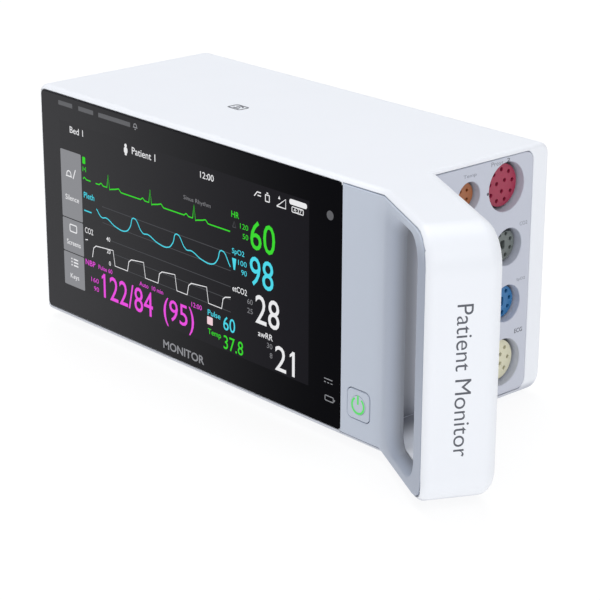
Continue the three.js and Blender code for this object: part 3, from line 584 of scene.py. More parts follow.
SLOTS = {row["node"]: row["material_slot"] for row in frame["record"]["subparts"]}
SLOT_FINISHES = {finish.record_slot(): finish for finish in reversed(vars(Finishes).values())
                 if isinstance(finish, Finish)}
LAYOUT = Layout()


# ------------------------------------------------------------------ mesh tools
MERGE = 1e-5


def curve_mesh(curve: bpy.types.Curve) -> bmesh.types.BMesh:
    """Turns a curve or text into a mesh at the origin.

    Args:
        curve: The curve's data, which is removed afterwards.

    Returns:
        Its mesh, with doubles merged.
    """
    holder = bpy.data.objects.new("drawing", curve)
    bpy.context.scene.collection.objects.link(holder)
    bpy.context.view_layer.update()
    mesh = bpy.data.meshes.new_from_object(holder.evaluated_get(bpy.context.evaluated_depsgraph_get()))
    made = bmesh.new()
    made.from_mesh(mesh)
    bmesh.ops.remove_doubles(made, verts=made.verts, dist=MERGE)
    bpy.data.objects.remove(holder)
    bpy.data.meshes.remove(mesh)
    return made


def text_shape(text: str, weight: float = 0.0, fine: int = 3) -> bmesh.types.BMesh:
    """Letters as a flat mesh of unit thickness.

    Args:
        text: The words.
        weight: How far the letters are fattened, in ems.
        fine: Steps in each curved stretch.

    Returns:
        The mesh, between heights 0 and 1.
    """
    curve = bpy.data.curves.new("letters", "FONT")
    curve.body = text
    curve.offset = weight
    curve.resolution_u = fine
    curve.extrude = 0.5
    made = curve_mesh(curve)
    bmesh.ops.translate(made, verts=made.verts, vec=(0, 0, 0.5))
    return made


def sheet_shape(outlines: Sequence[Sequence[Point]], edge: float = 0.0) -> bmesh.types.BMesh:
    """A flat plate of unit thickness whose inner outlines are holes.

    Args:
        outlines: The outer outline and the holes, as points in millimetres.
        edge: Radius of its rounded rims, as a share of the thickness.

    Returns:
        The mesh, between heights 0 and 1.
    """
    curve = bpy.data.curves.new("sheet", "CURVE")
    curve.dimensions = "2D"
    curve.fill_mode = "BOTH"
    curve.extrude = 0.5 - edge
    curve.bevel_depth = edge
    curve.bevel_resolution = 1
    curve.offset = -edge
    for points in outlines:
        spline = curve.splines.new("POLY")
        spline.points.add(len(points) - 1)
        for point, (x, y) in zip(spline.points, points):
            point.co = (x, y, 0, 1)
        spline.use_cyclic_u = True
    made = curve_mesh(curve)
    bmesh.ops.translate(made, verts=made.verts, vec=(0, 0, 0.5))
    return made


def line_shape(points: Sequence[Point], width: float, smooth: bool = False) -> bmesh.types.BMesh:
    """A drawn line with round ends and unit thickness.

    Args:
        points: What the line runs through, in millimetres.
        width: Its width in millimetres.
        smooth: Whether it curves through the points.

    Returns:
        The mesh, between heights 0 and 1.
    """
    curve = bpy.data.curves.new("line", "CURVE")
    curve.dimensions = "3D"
    curve.bevel_depth = width / 2
    curve.bevel_resolution = 1
    curve.use_fill_caps = True
    curve.resolution_u = 5
    spline = curve.splines.new("BEZIER" if smooth else "POLY")
    if smooth:
        spline.bezier_points.add(len(points) - 1)
        for knot, (x, y) in zip(spline.bezier_points, points):
            knot.co = (x, y, 0)
            knot.handle_left_type = knot.handle_right_type = "AUTO"
    else:
        spline.points.add(len(points) - 1)
        for point, (x, y) in zip(spline.points, points):
            point.co = (x, y, 0, 1)
    made = curve_mesh(curve)
    bmesh.ops.scale(made, verts=made.verts, vec=(1, 1, 1 / width))
    bmesh.ops.translate(made, verts=made.verts, vec=(0, 0, 0.5))
    return made


def circle(x: float, y: float, radius: float, steps: int = 24) -> list[Point]:
    """Points round a circle.

    Args:
        x: Its centre.
        y: Its centre.
        radius: Its radius.
        steps: Number of points.

    Returns:
        The points in order.
    """
    turns = [2 * math.pi * step / steps for step in range(steps)]
    return [(x + radius * math.cos(a), y + radius * math.sin(a)) for a in turns]


def arc(x: float, y: float, radius: float, start: float, end: float, steps: int = 18) -> list[Point]:
    """Points along an arc.

    Args:
        x: Its centre.
        y: Its centre.
        radius: Its radius.
        start: First angle in degrees.
        end: Last angle in degrees.
        steps: Number of stretches.

    Returns:
        The points in order.
    """
    angles = [math.radians(start + (end - start) * step / steps) for step in range(steps + 1)]
    return [(x + radius * math.cos(a), y + radius * math.sin(a)) for a in angles]


def rounded(span: Span, radius: float, steps: int = 4) -> list[Point]:
    """Points round a rectangle with round corners.

    Args:
        span: Lowest and highest across, then lowest and highest up.
        radius: Corner radius.
        steps: Stretches in each corner.

    Returns:
        The points in order.
    """
    x0, x1, y0, y1 = span
    corners = ((x0 + radius, y0 + radius, 180), (x1 - radius, y0 + radius, 270),
               (x1 - radius, y1 - radius, 0), (x0 + radius, y1 - radius, 90))
    return [point for x, y, start in corners for point in arc(x, y, radius, start, start + 90, steps)]


def pad(x: float, y: float, half_wide: float, half_tall: float, radius: float) -> list[Point]:
    """Points round a rectangle with round corners, placed by its centre."""
    return rounded((x - half_wide, x + half_wide, y - half_tall, y + half_tall), radius)


def spun(profile: Sequence[Point], steps: int = 32) -> bmesh.types.BMesh:
    """Spins a profile round the drawing's normal.

    Args:
        profile: Radius and height of each point, from the axis out and back to the axis.
        steps: Steps in the full turn.

    Returns:
        The closed mesh.
    """
    made = bmesh.new()
    row = [made.verts.new((radius, 0, height)) for radius, height in profile]
    edges = [made.edges.new(pair) for pair in zip(row, row[1:])]
    bmesh.ops.spin(made, geom=row + edges, cent=(0, 0, 0), axis=(0, 0, 1), angle=2 * math.pi,
                   steps=steps, use_merge=True)
    bmesh.ops.remove_doubles(made, verts=made.verts, dist=MERGE)
    bmesh.ops.recalc_face_normals(made, faces=made.faces)
    return made


def fitted(shape: bmesh.types.BMesh, span: Span) -> bmesh.types.BMesh:
    """Stretches a flat mesh to fill a rectangle.

    Args:
        shape: The mesh, which is changed.
        span: Lowest and highest across, then lowest and highest up.

    Returns:
        The same mesh.
    """
    xs = [v.co.x for v in shape.verts]
    ys = [v.co.y for v in shape.verts]
    wide, high = max(xs) - min(xs), max(ys) - min(ys)
    scale = ((span[1] - span[0]) / wide, (span[3] - span[2]) / high)
    bmesh.ops.translate(shape, verts=shape.verts, vec=(-min(xs), -min(ys), 0))
    bmesh.ops.scale(shape, verts=shape.verts, vec=(*scale, 1))
    bmesh.ops.translate(shape, verts=shape.verts, vec=(span[0], span[2], 0))
    return shape


RIM_SMOOTH = 40.0
BEND_REACH = 4.6


class Drawing:
    """Flat shapes of one colour that become one piece."""

    def __init__(self, plane: Plane, thickness: float = 0.03, lift: float = 0.0) -> None:
        """Starts an empty drawing.

        Args:
            plane: Where it lies.
            thickness: How thick its shapes are, in millimetres.
            lift: How far its back stands off the plane, in millimetres.
        """
        self.plane = plane
        self.thickness = thickness
        self.lift = lift
        self.mesh = bmesh.new()

    def add(self, shape: bmesh.types.BMesh, thickness: float | None = None,
            lift: float | None = None) -> None:
        """Adds a shape of unit thickness.

        Args:
            shape: The shape, which is used up.
            thickness: Its own thickness, if it isn't the drawing's.
            lift: Its own distance from the plane, if it isn't the drawing's.
        """
        deep = self.thickness if thickness is None else thickness
        bmesh.ops.scale(shape, verts=shape.verts, vec=(1, 1, deep))
        bmesh.ops.transform(shape, verts=shape.verts,
                            matrix=self.plane.matrix(lift=self.lift if lift is None else lift))
        bmesh.ops.recalc_face_normals(shape, faces=shape.faces)
        scratch = bpy.data.meshes.new("part")
        shape.to_mesh(scratch)
        shape.free()
        self.mesh.from_mesh(scratch)
        bpy.data.meshes.remove(scratch)

    def text(self, words: str, span: Span, weight: float = 0.0, fine: int = 3) -> None:
        """Adds letters that fill a rectangle.

        Args:
            words: The words.
            span: The rectangle.
            weight: How far the letters are fattened.
            fine: Steps in each curved stretch.
        """
        self.add(fitted(text_shape(words, weight, fine), span))

    def line(self, points: Sequence[Point], width: float, smooth: bool = False) -> None:
        """Adds a drawn line through points."""
        self.add(line_shape(points, width, smooth))

    def area(self, *outlines: Sequence[Point]) -> None:
        """Adds a filled outline, less its holes."""
        self.add(sheet_shape(outlines))

    def frame(self, span: Span, radius: float, width: float) -> None:
        """Adds the outline of a rounded rectangle as a line of its own width."""
        x0, x1, y0, y1 = span
        hole = (x0 + width, x1 - width, y0 + width, y1 - width)
        self.area(rounded(span, radius), rounded(hole, max(radius - width, 0.05)))


def finish_piece(name: str, mesh: bmesh.types.BMesh, finish: Finish, body: str = "housing",
                 stands_for: str = "", smooth_to: float = 32.0) -> bpy.types.Object:
    """Makes an object of a finished mesh.

    Args:
        name: The piece's name.
        mesh: Its mesh in the frame's metres, which is used up.
        finish: Its finish, which also names its material slot.
        body: The body that it moves with.
        stands_for: The node that it replaces, if there is one.
        smooth_to: Faces that meet at less than this angle look smooth.

    Returns:
        The object.
    """
    data = bpy.data.meshes.new(name)
    mesh.to_mesh(data)
    mesh.free()
    data.shade_smooth()
    data.set_sharp_from_angle(angle=math.radians(smooth_to))
    piece = bpy.data.objects.new(name, data)
    bpy.context.scene.collection.objects.link(piece)
    data.materials.append(finish.material())
    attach(piece, body)
    if stands_for:
        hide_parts(stands_for)
    log.info("%-24s %6d faces on %s", name, len(data.polygons), body)
    return piece


def finish_drawing(name: str, drawing: Drawing, finish: Finish, body: str = "housing",
                   smooth_to: float = 20.0) -> None:
    """Makes a piece of a drawing, with flat faces unless its rims are smooth."""
    finish_piece(name, drawing.mesh, finish, body, smooth_to=smooth_to)


class Surroundings:
    """Every surface of the frame, asked whether a place is open to the outside."""

    REACH = 12.0
    START = 0.08

    def __init__(self) -> None:
        """Gathers the faces of every node."""
        points: list[Vector] = []
        faces: list[list[int]] = []
        for node in frame["nodes"].values():
            first = len(points)
            points.extend(vertex.co.copy() for vertex in node.data.vertices)
            faces.extend([first + index for index in face.vertices] for face in node.data.polygons)
        self.tree = BVHTree.FromPolygons(points, faces)

    def leaves_open(self, edge: bmesh.types.BMEdge) -> bool:
        """Tells whether nothing stands close in front of an edge.

        Args:
            edge: An edge with two faces.

        Returns:
            True if the way out between its faces is free.
        """
        way = (edge.link_faces[0].normal + edge.link_faces[1].normal).normalized()
        middle = (edge.verts[0].co + edge.verts[1].co) / 2
        return self.tree.ray_cast(middle + way * self.START * MM, way, self.REACH * MM)[0] is None


SURROUNDINGS = Surroundings()


@dataclass
class Shell:
    """A moulded piece whose shape is the frame's, with its edges broken and its curves smoothed."""

    node: str
    finish: Finish
    body: str = "housing"
    edge: float = 0.25
    smooth_to: float = 31.0
    sharper_by: float = 4.0
    merge: float = 0.02
    flat_to: float = 0.6
    steps: int = 2
    corner_weight: int = 60
    bend_reach: float = 0.0

    def build(self) -> bpy.types.Object:
        """Copies the node, cleans it and softens its edges.

        Returns:
            The piece that stands for the node.
        """
        mesh = bmesh.new()
        mesh.from_mesh(frame["nodes"][self.node].data)
        bmesh.ops.remove_doubles(mesh, verts=mesh.verts, dist=self.merge * MM)
        bmesh.ops.dissolve_degenerate(mesh, edges=mesh.edges, dist=self.merge * MM)
        bmesh.ops.dissolve_limit(mesh, angle_limit=math.radians(self.flat_to), verts=mesh.verts,
                                 edges=mesh.edges)
        if self.bend_reach:
            self._cut_beside_bend(mesh)
        self._weigh_edges(mesh)
        piece = finish_piece(f"{self.node}_shell", mesh, self.finish, self.body, self.node, self.smooth_to)
        bevel = piece.modifiers.new("edge", "BEVEL")
        bevel.width = self.edge * MM
        bevel.segments = self.steps
        bevel.limit_method = "WEIGHT"
        bevel.use_clamp_overlap = False
        bevel.miter_outer = "MITER_ARC"
        weighted = piece.modifiers.new("normals", "WEIGHTED_NORMAL")
        weighted.keep_sharp = True
        weighted.weight = self.corner_weight
        return piece

    def _weigh_edges(self, mesh: bmesh.types.BMesh) -> None:
        """Marks the sharp outer edges that are to be broken.

        Args:
            mesh: The mesh that is marked.
        """
        mesh.normal_update()
        weight = mesh.edges.layers.float.new("bevel_weight_edge")
        sharp = math.radians(self.smooth_to + self.sharper_by)
        for edge in mesh.edges:
            if not edge.is_manifold or not edge.is_convex or edge.calc_face_angle(0.0) < sharp:
                continue
            edge[weight] = float(SURROUNDINGS.leaves_open(edge))

    def _cut_beside_bend(self, mesh: bmesh.types.BMesh) -> None:
        """Adds an edge on each side of the bend, so that the turn is spread over that width.

        Args:
            mesh: The mesh that is cut.
        """
        half = LAYOUT.HANDLE_TURN / 2
        across = Vector((math.cos(half), -math.sin(half), 0))
        for side in (-1, 1):
            bmesh.ops.bisect_plane(mesh, geom=[*mesh.verts, *mesh.edges, *mesh.faces],
                                   plane_co=(LAYOUT.bend + across * side * self.bend_reach) * MM,
                                   plane_no=across, dist=1e-6)


# ------------------------------------------------------------------ sub-assemblies
@dataclass
class Housing:
    """The white body with the handle in one piece, and what is printed on it."""

    grip_words: str = "Patient Monitor"
    grip_span: Span = (-73.5, -21.5, 9.9, 15.3)
    mark_place: Point = (80.8, 35.2)
    mark_size: float = 7.5

    def build(self) -> None:
        """Builds the shell and its print."""
        Shell("main_housing", Finishes.housing, edge=0.3, bend_reach=BEND_REACH).build()
        self._print_grip()
        self._print_top()
        self._print_left()

    def _print_grip(self) -> None:
        """Prints the words down the outside of the grip."""
        drawing = Drawing(LAYOUT.grip_plane)
        drawing.text(self.grip_words, self.grip_span, weight=-0.004, fine=6)
        finish_drawing("grip_lettering", drawing, Finishes.ink)

    def _print_top(self) -> None:
        """Prints a small mark for the wireless antenna on the top."""
        drawing = Drawing(LAYOUT.top_plane)
        x, y = self.mark_place
        half = self.mark_size / 2
        low = half * 0.75
        drawing.frame((x - half, x + half, y - low, y + low), 1.2, 0.8)
        drawing.line([(x - half * 0.45, y - half * 0.3), (x + half * 0.45, y - half * 0.3)], 1.0)
        for reach in (0.3, 0.62):
            drawing.line(arc(x, y - half * 0.2, half * reach, 35, 145, 8), 0.7)
        finish_drawing("top_mark", drawing, Finishes.ink)

    def _print_left(self) -> None:
        """Prints signs beside the battery and the release button on the left side."""
        drawing = Drawing(LAYOUT.left_plane)
        eject = box_mm("battery_eject_button")
        front = LAYOUT.front
        centre = front - (eject[0].y + eject[1].y) / 2
        level = eject[1].z + 4.2
        drawing.area([(centre - 2.2, level), (centre + 2.2, level), (centre, level + 2.6)])
        drawing.area(rounded((centre - 2.2, centre + 2.2, level - 1.5, level - 0.8), 0.2))
        battery = box_mm("battery_pack")
        right = front - battery[0].y + 5.5
        base = battery[0].z + 6
        drawing.frame((right - 2, right + 2, base, base + 8), 0.6, 0.5)
        drawing.area(rounded((right - 0.9, right + 0.9, base + 8, base + 9), 0.2))
        for step in range(3):
            low = base + 1.2 + step * 2.2
            drawing.area(rounded((right - 1.1, right + 1.1, low, low + 1.4), 0.2))
        finish_drawing("left_signs", drawing, Finishes.ink)


@dataclass
class FrontCover:
    """The bent grey plate to the right of the screen, and the power key in it."""

    symbol_place: Point = (185.0, 17.3)
    ring: float = 2.9
    stroke: float = 0.75
    open_half: float = 34.0
    guide_gap: float = 0.06

    def build(self) -> None:
        """Builds the plate, the key and its lit symbol."""
        Shell("front_cover", Finishes.cover, edge=0.2, bend_reach=BEND_REACH).build()
        Shell("power_button", Finishes.cover, "power_key", edge=0.3).build()
        self._guide()
        self._symbol()

    def _guide(self) -> None:
        """The symbol's window in the key, flush with its face."""
        low, high = box_mm("power_light_guide")
        window = (high.x - low.x) / 2 + LAYOUT.GAP - self.guide_gap
        deep = high.y - low.y
        shape = spun([(0, 0), (window - 0.1, 0), (window, 0.1), (window, deep), (0, deep)], 40)
        centre = (low + high) / 2
        plane = Plane(Vector((centre.x, high.y, centre.z)), LAYOUT.X, LAYOUT.Z)
        bmesh.ops.transform(shape, verts=shape.verts, matrix=plane.matrix())
        finish_piece("power_window", shape, Finishes.cover, "power_key", "power_light_guide")

    def _symbol(self) -> None:
        """The ring and bar that light up green."""
        x, z = self.symbol_place
        proud = LAYOUT.front - box_mm("power_button")[0].y
        drawing = Drawing(LAYOUT.front_plane, thickness=0.05, lift=proud - 0.01)
        drawing.line(arc(x, z, self.ring, 90 + self.open_half, 450 - self.open_half, 40), self.stroke)
        drawing.line([(x, z + 0.4), (x, z + self.ring + 0.9)], self.stroke)
        finish_drawing("power_symbol", drawing, Finishes.key_light, "power_key")


# Words and numbers in the display's picture: ink, how far the letters are fattened, words and places.
CAPTIONS = (
    (Ink.WHITE, 0.004, (
        ("Bed 1", (6.8, 15.4, 64.2, 66.8)), ("Patient 1", (46.2, 60.4, 63.9, 66.7)),
        ("12:00", (86.6, 94.3, 63.6, 66.1)), ("CO2", (14.7, 20.0, 25.2, 27.6)),
        ("40", (28.6, 31.0, 25.2, 27.0)), ("20", (28.6, 31.0, 20.2, 22.0)),
        ("0", (29.8, 31.0, 15.4, 17.2)), ("etCO2", (104.3, 112.3, 24.7, 27.0)),
        ("awRR", (118.4, 126.4, 11.2, 13.5)), ("Silence", (2.4, 11.3, 36.3, 38.5)),
        ("Screens", (2.3, 11.4, 17.7, 19.8)), ("Keys", (4.0, 9.7, 3.1, 5.7)),
    )),
    (Ink.WHITE, 0.001, (
        ("28", (117.0, 130.0, 15.9, 27.0)), ("21", (127.7, 138.2, 0.9, 10.5)),
    )),
    (Ink.GREY, 0.0, (
        ("Sinus Rhythm", (76.8, 92.3, 52.8, 54.9)), ("60", (112.5, 115.5, 22.0, 24.0)),
        ("25", (112.5, 115.5, 18.5, 20.5)), ("30", (123.2, 126.2, 8.0, 10.0)),
        ("8", (124.8, 126.2, 4.5, 6.5)),
    )),
    (Ink.GREEN, 0.004, (
        ("HR", (104.0, 108.2, 52.9, 55.2)), ("Temp", (90.0, 97.5, 3.4, 6.2)),
    )),
    (Ink.GREEN, -0.004, (
        ("120", (108.8, 113.2, 49.6, 51.6)), ("50", (110.2, 113.2, 46.0, 48.0)),
    )),
    (Ink.GREEN, 0.001, (
        ("60", (114.4, 127.7, 43.5, 54.5)), ("37.8", (99.0, 110.0, 0.7, 6.1)),
    )),
    (Ink.CYAN, 0.004, (
        ("Pleth", (14.7, 21.4, 39.6, 42.0)), ("SpO2", (104.2, 111.0, 38.6, 41.2)),
        ("Pulse", (90.0, 97.3, 11.5, 13.7)),
    )),
    (Ink.CYAN, -0.004, (
        ("100", (107.6, 112.3, 35.5, 37.5)), ("90", (109.3, 112.3, 32.1, 34.1)),
    )),
    (Ink.CYAN, 0.001, (
        ("98", (114.0, 126.8, 29.8, 40.9)), ("60", (98.9, 105.6, 8.2, 13.6)),
    )),
    (Ink.MAGENTA, 0.004, (
        ("NBP", (14.5, 20.8, 12.0, 14.3)),
    )),
    (Ink.MAGENTA, 0.0, (
        ("Pulse 60", (22.9, 31.8, 12.2, 14.0)), ("Auto  10 min", (49.0, 63.5, 12.2, 14.0)),
        ("12:00", (80.5, 86.5, 12.1, 14.0)),
    )),
    (Ink.MAGENTA, -0.006, (
        ("160", (17.9, 22.7, 5.8, 7.7)), ("90", (19.5, 22.7, 2.3, 4.2)),
    )),
    (Ink.MAGENTA, 0.001, (
        ("122/84", (25.9, 57.0, 1.0, 11.1)), ("(95)", (63.6, 81.8, 0.3, 11.6)),
    )),
)


@dataclass
class Screen:
    """The cover glass with its print, and the picture on the display behind it."""

    thickness: float = 0.02
    trace: float = 0.5
    beat: float = 26.0
    sweep: tuple[float, float] = (22.7, 103.2)
    keys: Span = (0.0, 13.4, 0.2, 56.8)
    key_steps: tuple[float, ...] = (14.5, 28.7)
    drawings: dict[Ink, Drawing] = field(default_factory=dict)

    def drawing(self, ink: Ink) -> Drawing:
        """The drawing in one ink, started when it is first used."""
        if ink not in self.drawings:
            lift = self.thickness * (0.5 if ink in (Ink.KEYS, Ink.DIM) else 1.5)
            self.drawings[ink] = Drawing(LAYOUT.screen_plane, self.thickness, lift)
        return self.drawings[ink]

    def build(self) -> None:
        """Builds the glass, its print and the picture."""
        Shell("cover_glass", Finishes.glass).build()
        for ink, weight, rows in CAPTIONS:
            for words, span in rows:
                self.drawing(ink).text(words, span, weight)
        self._keys()
        self._status()
        self._heart_trace()
        self._pleth_trace()
        self._breath_trace()
        self._bars()
        for ink, drawing in self.drawings.items():
            finish_drawing(ink.value.name, drawing, ink.value)
        self._print_glass()

    def _keys(self) -> None:
        """The three soft keys down the left side with their signs."""
        x0, x1, y0, y1 = self.keys
        edges = (y0, *self.key_steps, y1)
        for low, high in zip(edges, edges[1:]):
            self.drawing(Ink.KEYS).area(rounded((x0, x1, low + 0.2, high - 0.2), 0.5))
        white = self.drawing(Ink.WHITE)
        white.line([*arc(5.2, 47.0, 1.4, 200, -20, 8)], 0.5)
        white.line([(3.2, 46.2), (7.2, 46.2)], 0.5)
        white.line([(7.9, 45.6), (9.6, 49.6)], 0.5)
        white.frame((4.4, 9.4, 23.2, 26.6), 0.8, 0.5)
        for row in range(3):
            level = 9.4 + row * 1.3
            white.line([(4.8, level), (5.6, level)], 0.6)
            white.line([(6.4, level), (9.4, level)], 0.6)

    def _status(self) -> None:
        """The small signs in the top row."""
        white = self.drawing(Ink.WHITE)
        white.area(circle(42.4, 66.4, 0.75, 12))
        white.area(rounded((41.3, 43.5, 63.4, 65.7), 0.7))
        white.area(rounded((41.8, 43.0, 62.6, 63.6), 0.3))
        white.line([(116.6, 63.6), (118.2, 65.4), (120.2, 65.4)], 0.45)
        white.line([(118.4, 64.2), (120.2, 64.2)], 0.45)
        white.frame((122.4, 124.9, 62.8, 65.6), 0.4, 0.4)
        white.line([(123.2, 66.1), (124.1, 66.1)], 0.5)
        white.line([(128.6, 62.6), (133.3, 62.6), (133.3, 66.0), (128.6, 62.6)], 0.45)
        white.area([(129.3, 65.4), (130.5, 65.4), (129.9, 66.6)])
        white.area(rounded((135.2, 144.3, 64.9, 66.9), 0.9))
        white.frame((136.4, 142.6, 62.2, 64.4), 0.5, 0.35)
        white.text("4:37", (137.4, 141.6, 62.6, 64.0))

    def _heart_trace(self) -> None:
        """The heart trace: a small rise, a sharp spike and a rounded rise in each beat."""
        base = 47.1
        points = [(self.sweep[0], base)]
        for beat in range(3):
            x = 30.9 + beat * self.beat
            points += [(x - 6.0, base), (x - 4.7, base + 0.9), (x - 3.4, base), (x - 1.0, base),
                       (x - 0.1, base + 5.2), (x + 0.7, base - 0.6), (x + 1.2, base - 0.3),
                       (x + 4.6, base + 0.5), (x + 6.4, base + 1.1), (x + 7.9, base - 0.1),
                       (x + 10.0, base - 0.1)]
        points.append((self.sweep[1], base))
        green = self.drawing(Ink.GREEN)
        green.line(points, self.trace)
        foot = base + 0.1
        green.line([(14.6, foot), (15.4, base + 0.9), (16.8, foot), (19.4, foot)], self.trace)
        green.area(rounded((14.5, 16.3, 53.4, 56.2), 0.3))
        green.line([(14.6, 50.3), (14.6, 52.2), (15.5, 51.0), (16.4, 52.2), (16.4, 50.3)], 0.45)
        self.drawing(Ink.DIM).line([(104.6, 49.2), (106.4, 49.2), (105.5, 51.4), (104.6, 49.2)], 0.4)

    def _pleth_trace(self) -> None:
        """The pulse wave: a steep rise, a notch and a slow fall in each beat."""
        wave = [(0.0, 32.2), (2.6, 34.6), (4.8, 38.6), (10.4, 33.9), (13.6, 34.1), (19.5, 32.2)]
        points = [(22.7, 36.8), (25.9, 34.1), (29.0, 34.5), (34.5, 32.4)]
        for beat in range(3):
            start = 41.4 + beat * self.beat
            points += [(start + x, y) for x, y in wave if start + x < self.sweep[1] - 1]
        points.append((self.sweep[1], 33.6))
        cyan = self.drawing(Ink.CYAN)
        cyan.line(points, self.trace * 0.9, smooth=True)
        cyan.line([(14.6, 34.4), (19.4, 34.4)], self.trace)
        for level in (38.6, 32.1):
            self.drawing(Ink.DIM).line([(26.4, level), (103.4, level)], 0.32)

    def _breath_trace(self) -> None:
        """The breath trace: a square rise, a slowly rising top and a square fall in each breath."""
        low, shoulder = 16.1, 20.7
        breaths = [(19.1, 32.7), (41.6, 51.8), (60.5, 70.9), (78.0, 89.5)]
        points = []
        for start, end in breaths:
            points += [(start, low), (start + 1.0, shoulder - 0.6), (start + 2.6, shoulder + 0.6),
                       (end, shoulder + 1.5), (end + 1.0, low)]
        points += [(98.0, low), (98.9, shoulder - 0.6), (100.2, shoulder + 0.4), (self.sweep[1], 21.8)]
        white = self.drawing(Ink.WHITE)
        white.line(points, self.trace * 0.8)
        white.line([(14.8, 22.3), (16.4, 22.6)], self.trace * 0.8)
        for level in (25.9, 20.9, 16.1):
            self.drawing(Ink.DIM).line([(31.6, level), (103.2, level)], 0.3)

    def _bars(self) -> None:
        """The pulse quality bar and the small box beside the pulse."""
        self.drawing(Ink.CYAN).area([(105.0, 33.0), (105.8, 33.0), (106.5, 37.4), (104.2, 37.4)])
        self.drawing(Ink.PINK).area(rounded((89.6, 92.8, 7.8, 10.9), 0.3))
        for ink, x, top in ((Ink.WHITE, 137.3, 10.5), (Ink.MAGENTA, 26.5, 11.1)):
            self.drawing(ink).area([(x, top), (x - 1.7, top - 1.5), (x - 1.7, top - 2.6), (x, top - 1.4)])

    def _print_glass(self) -> None:
        """The lamps, sensor and signs that show through the clear parts of the glass."""
        lift = self.thickness
        lamps = Drawing(LAYOUT.front_plane, self.thickness, lift)
        for number in (1, 2, 3):
            low, high = box_mm(f"alarm_lamp_{number}")
            lamps.area(rounded((low.x - LAYOUT.left, high.x - LAYOUT.left, low.z, high.z), 0.25))
        finish_drawing("lamp_windows", lamps, Finishes.lamp_off)
        low, high = box_mm("light_sensor")
        x, z = (low.x + high.x) / 2 - LAYOUT.left, (low.z + high.z) / 2
        sensor = Drawing(LAYOUT.front_plane, self.thickness, lift)
        sensor.area(circle(x, z, 1.7, 28))
        finish_drawing("sensor_window", sensor, Finishes.lamp_off)
        signs = Drawing(LAYOUT.front_plane, self.thickness, lift)
        signs.line(arc(62.6, 92.2, 0.9, 200, -20, 8), 0.4)
        signs.line([(61.3, 91.7), (63.9, 91.7)], 0.4)
        signs.line([(62.2, 91.0), (63.0, 91.0)], 0.4)
        signs.text("MONITOR", (77.0, 101.5, 7.6, 11.0), 0.02, 4)
        signs.frame((168.0, 172.6, 14.2, 16.4), 0.5, 0.35)
        signs.line([(173.0, 14.9), (173.0, 15.7)], 0.4)
        for step in range(3):
            start = 167.6 + step * 1.7
            signs.line([(start, 21.2), (start + 0.9, 21.2)], 0.35)
        signs.line([(167.6, 22.5), (171.9, 22.5)], 0.35)
        finish_drawing("glass_signs", signs, Finishes.glass_print)


class Key(Enum):
    """How a socket is keyed to its plug."""

    NONE = "none"
    CENTRE = "centre"
    FLAT = "flat"


@dataclass
class Socket:
    """A coloured insert with contact holes, set back in a round recess."""

    node: str
    finish: Finish
    rings: tuple[tuple[float, int, float], ...]
    key: Key = Key.NONE
    fill: float = 0.9
    hole: float = 0.72
    depth: float = 3.0
    latch_room: float = 1.0
    flat_at: float = 0.78
    key_half: Point = (1.1, 1.6)
    floor_gap: float = 0.2
    floor_deep: float = 1.0

    def build(self) -> None:
        """Builds the insert, a near-black floor behind it as painted shade in the recess, and its latch."""
        low, high = box_mm(self.node)
        y, z = (low.y + high.y) / 2 - LAYOUT.front, (low.z + high.z) / 2
        recess = (high.y - low.y) / 2
        face = high.x - LAYOUT.side
        radius = recess * self.fill
        outlines = [self._rim(y, z, radius)]
        for share, count, start in self.rings:
            for point in circle(0, 0, radius * share, count) if count > 1 else [(0.0, 0.0)]:
                turned = Matrix.Rotation(math.radians(start), 2) @ Vector(point)
                outlines.append(circle(y + turned.x, z + turned.y, self.hole, 10))
        if self.key is not Key.NONE:
            outlines.append(pad(y, z, *self.key_half, 0.5))
        insert = Drawing(LAYOUT.side_plane, self.depth, face - self.depth)
        insert.add(sheet_shape(outlines, edge=0.12))
        finish_piece(f"{self.node}_insert", insert.mesh, self.finish, stands_for=self.node,
                     smooth_to=RIM_SMOOTH)
        # Painted shade: a near-black floor where the recess and the contact holes are in shade.
        deep, wide = self.floor_deep, recess + self.floor_gap
        floor = spun([(0, 0), (wide, 0), (wide, deep - 0.2), (recess - 0.4, deep), (0, deep)], 36)
        place = LAYOUT.side_plane.matrix(y, z, face - self.depth - deep - self.floor_gap)
        bmesh.ops.transform(floor, verts=floor.verts, matrix=place)
        finish_piece(f"{self.node}_floor", floor, Finishes.black_plastic_and_shade)
        if recess - radius > self.latch_room:
            latch = Drawing(LAYOUT.side_plane, self.depth - 0.6, face - self.depth)
            span = (y - 1.5, y + 1.5, z - recess + 0.2, z - radius - 0.15)
            latch.add(sheet_shape([rounded(span, 0.3)], 0.1))
            finish_drawing(f"{self.node}_latch", latch, Finishes.panel, smooth_to=RIM_SMOOTH)

    def _rim(self, y: float, z: float, radius: float) -> list[Point]:
        """The insert's outline, with a flat at the top where it is keyed so."""
        points = circle(y, z, radius, 48)
        if self.key is Key.FLAT:
            top = z + radius * self.flat_at
            points = [(a, min(b, top)) for a, b in points]
        return points


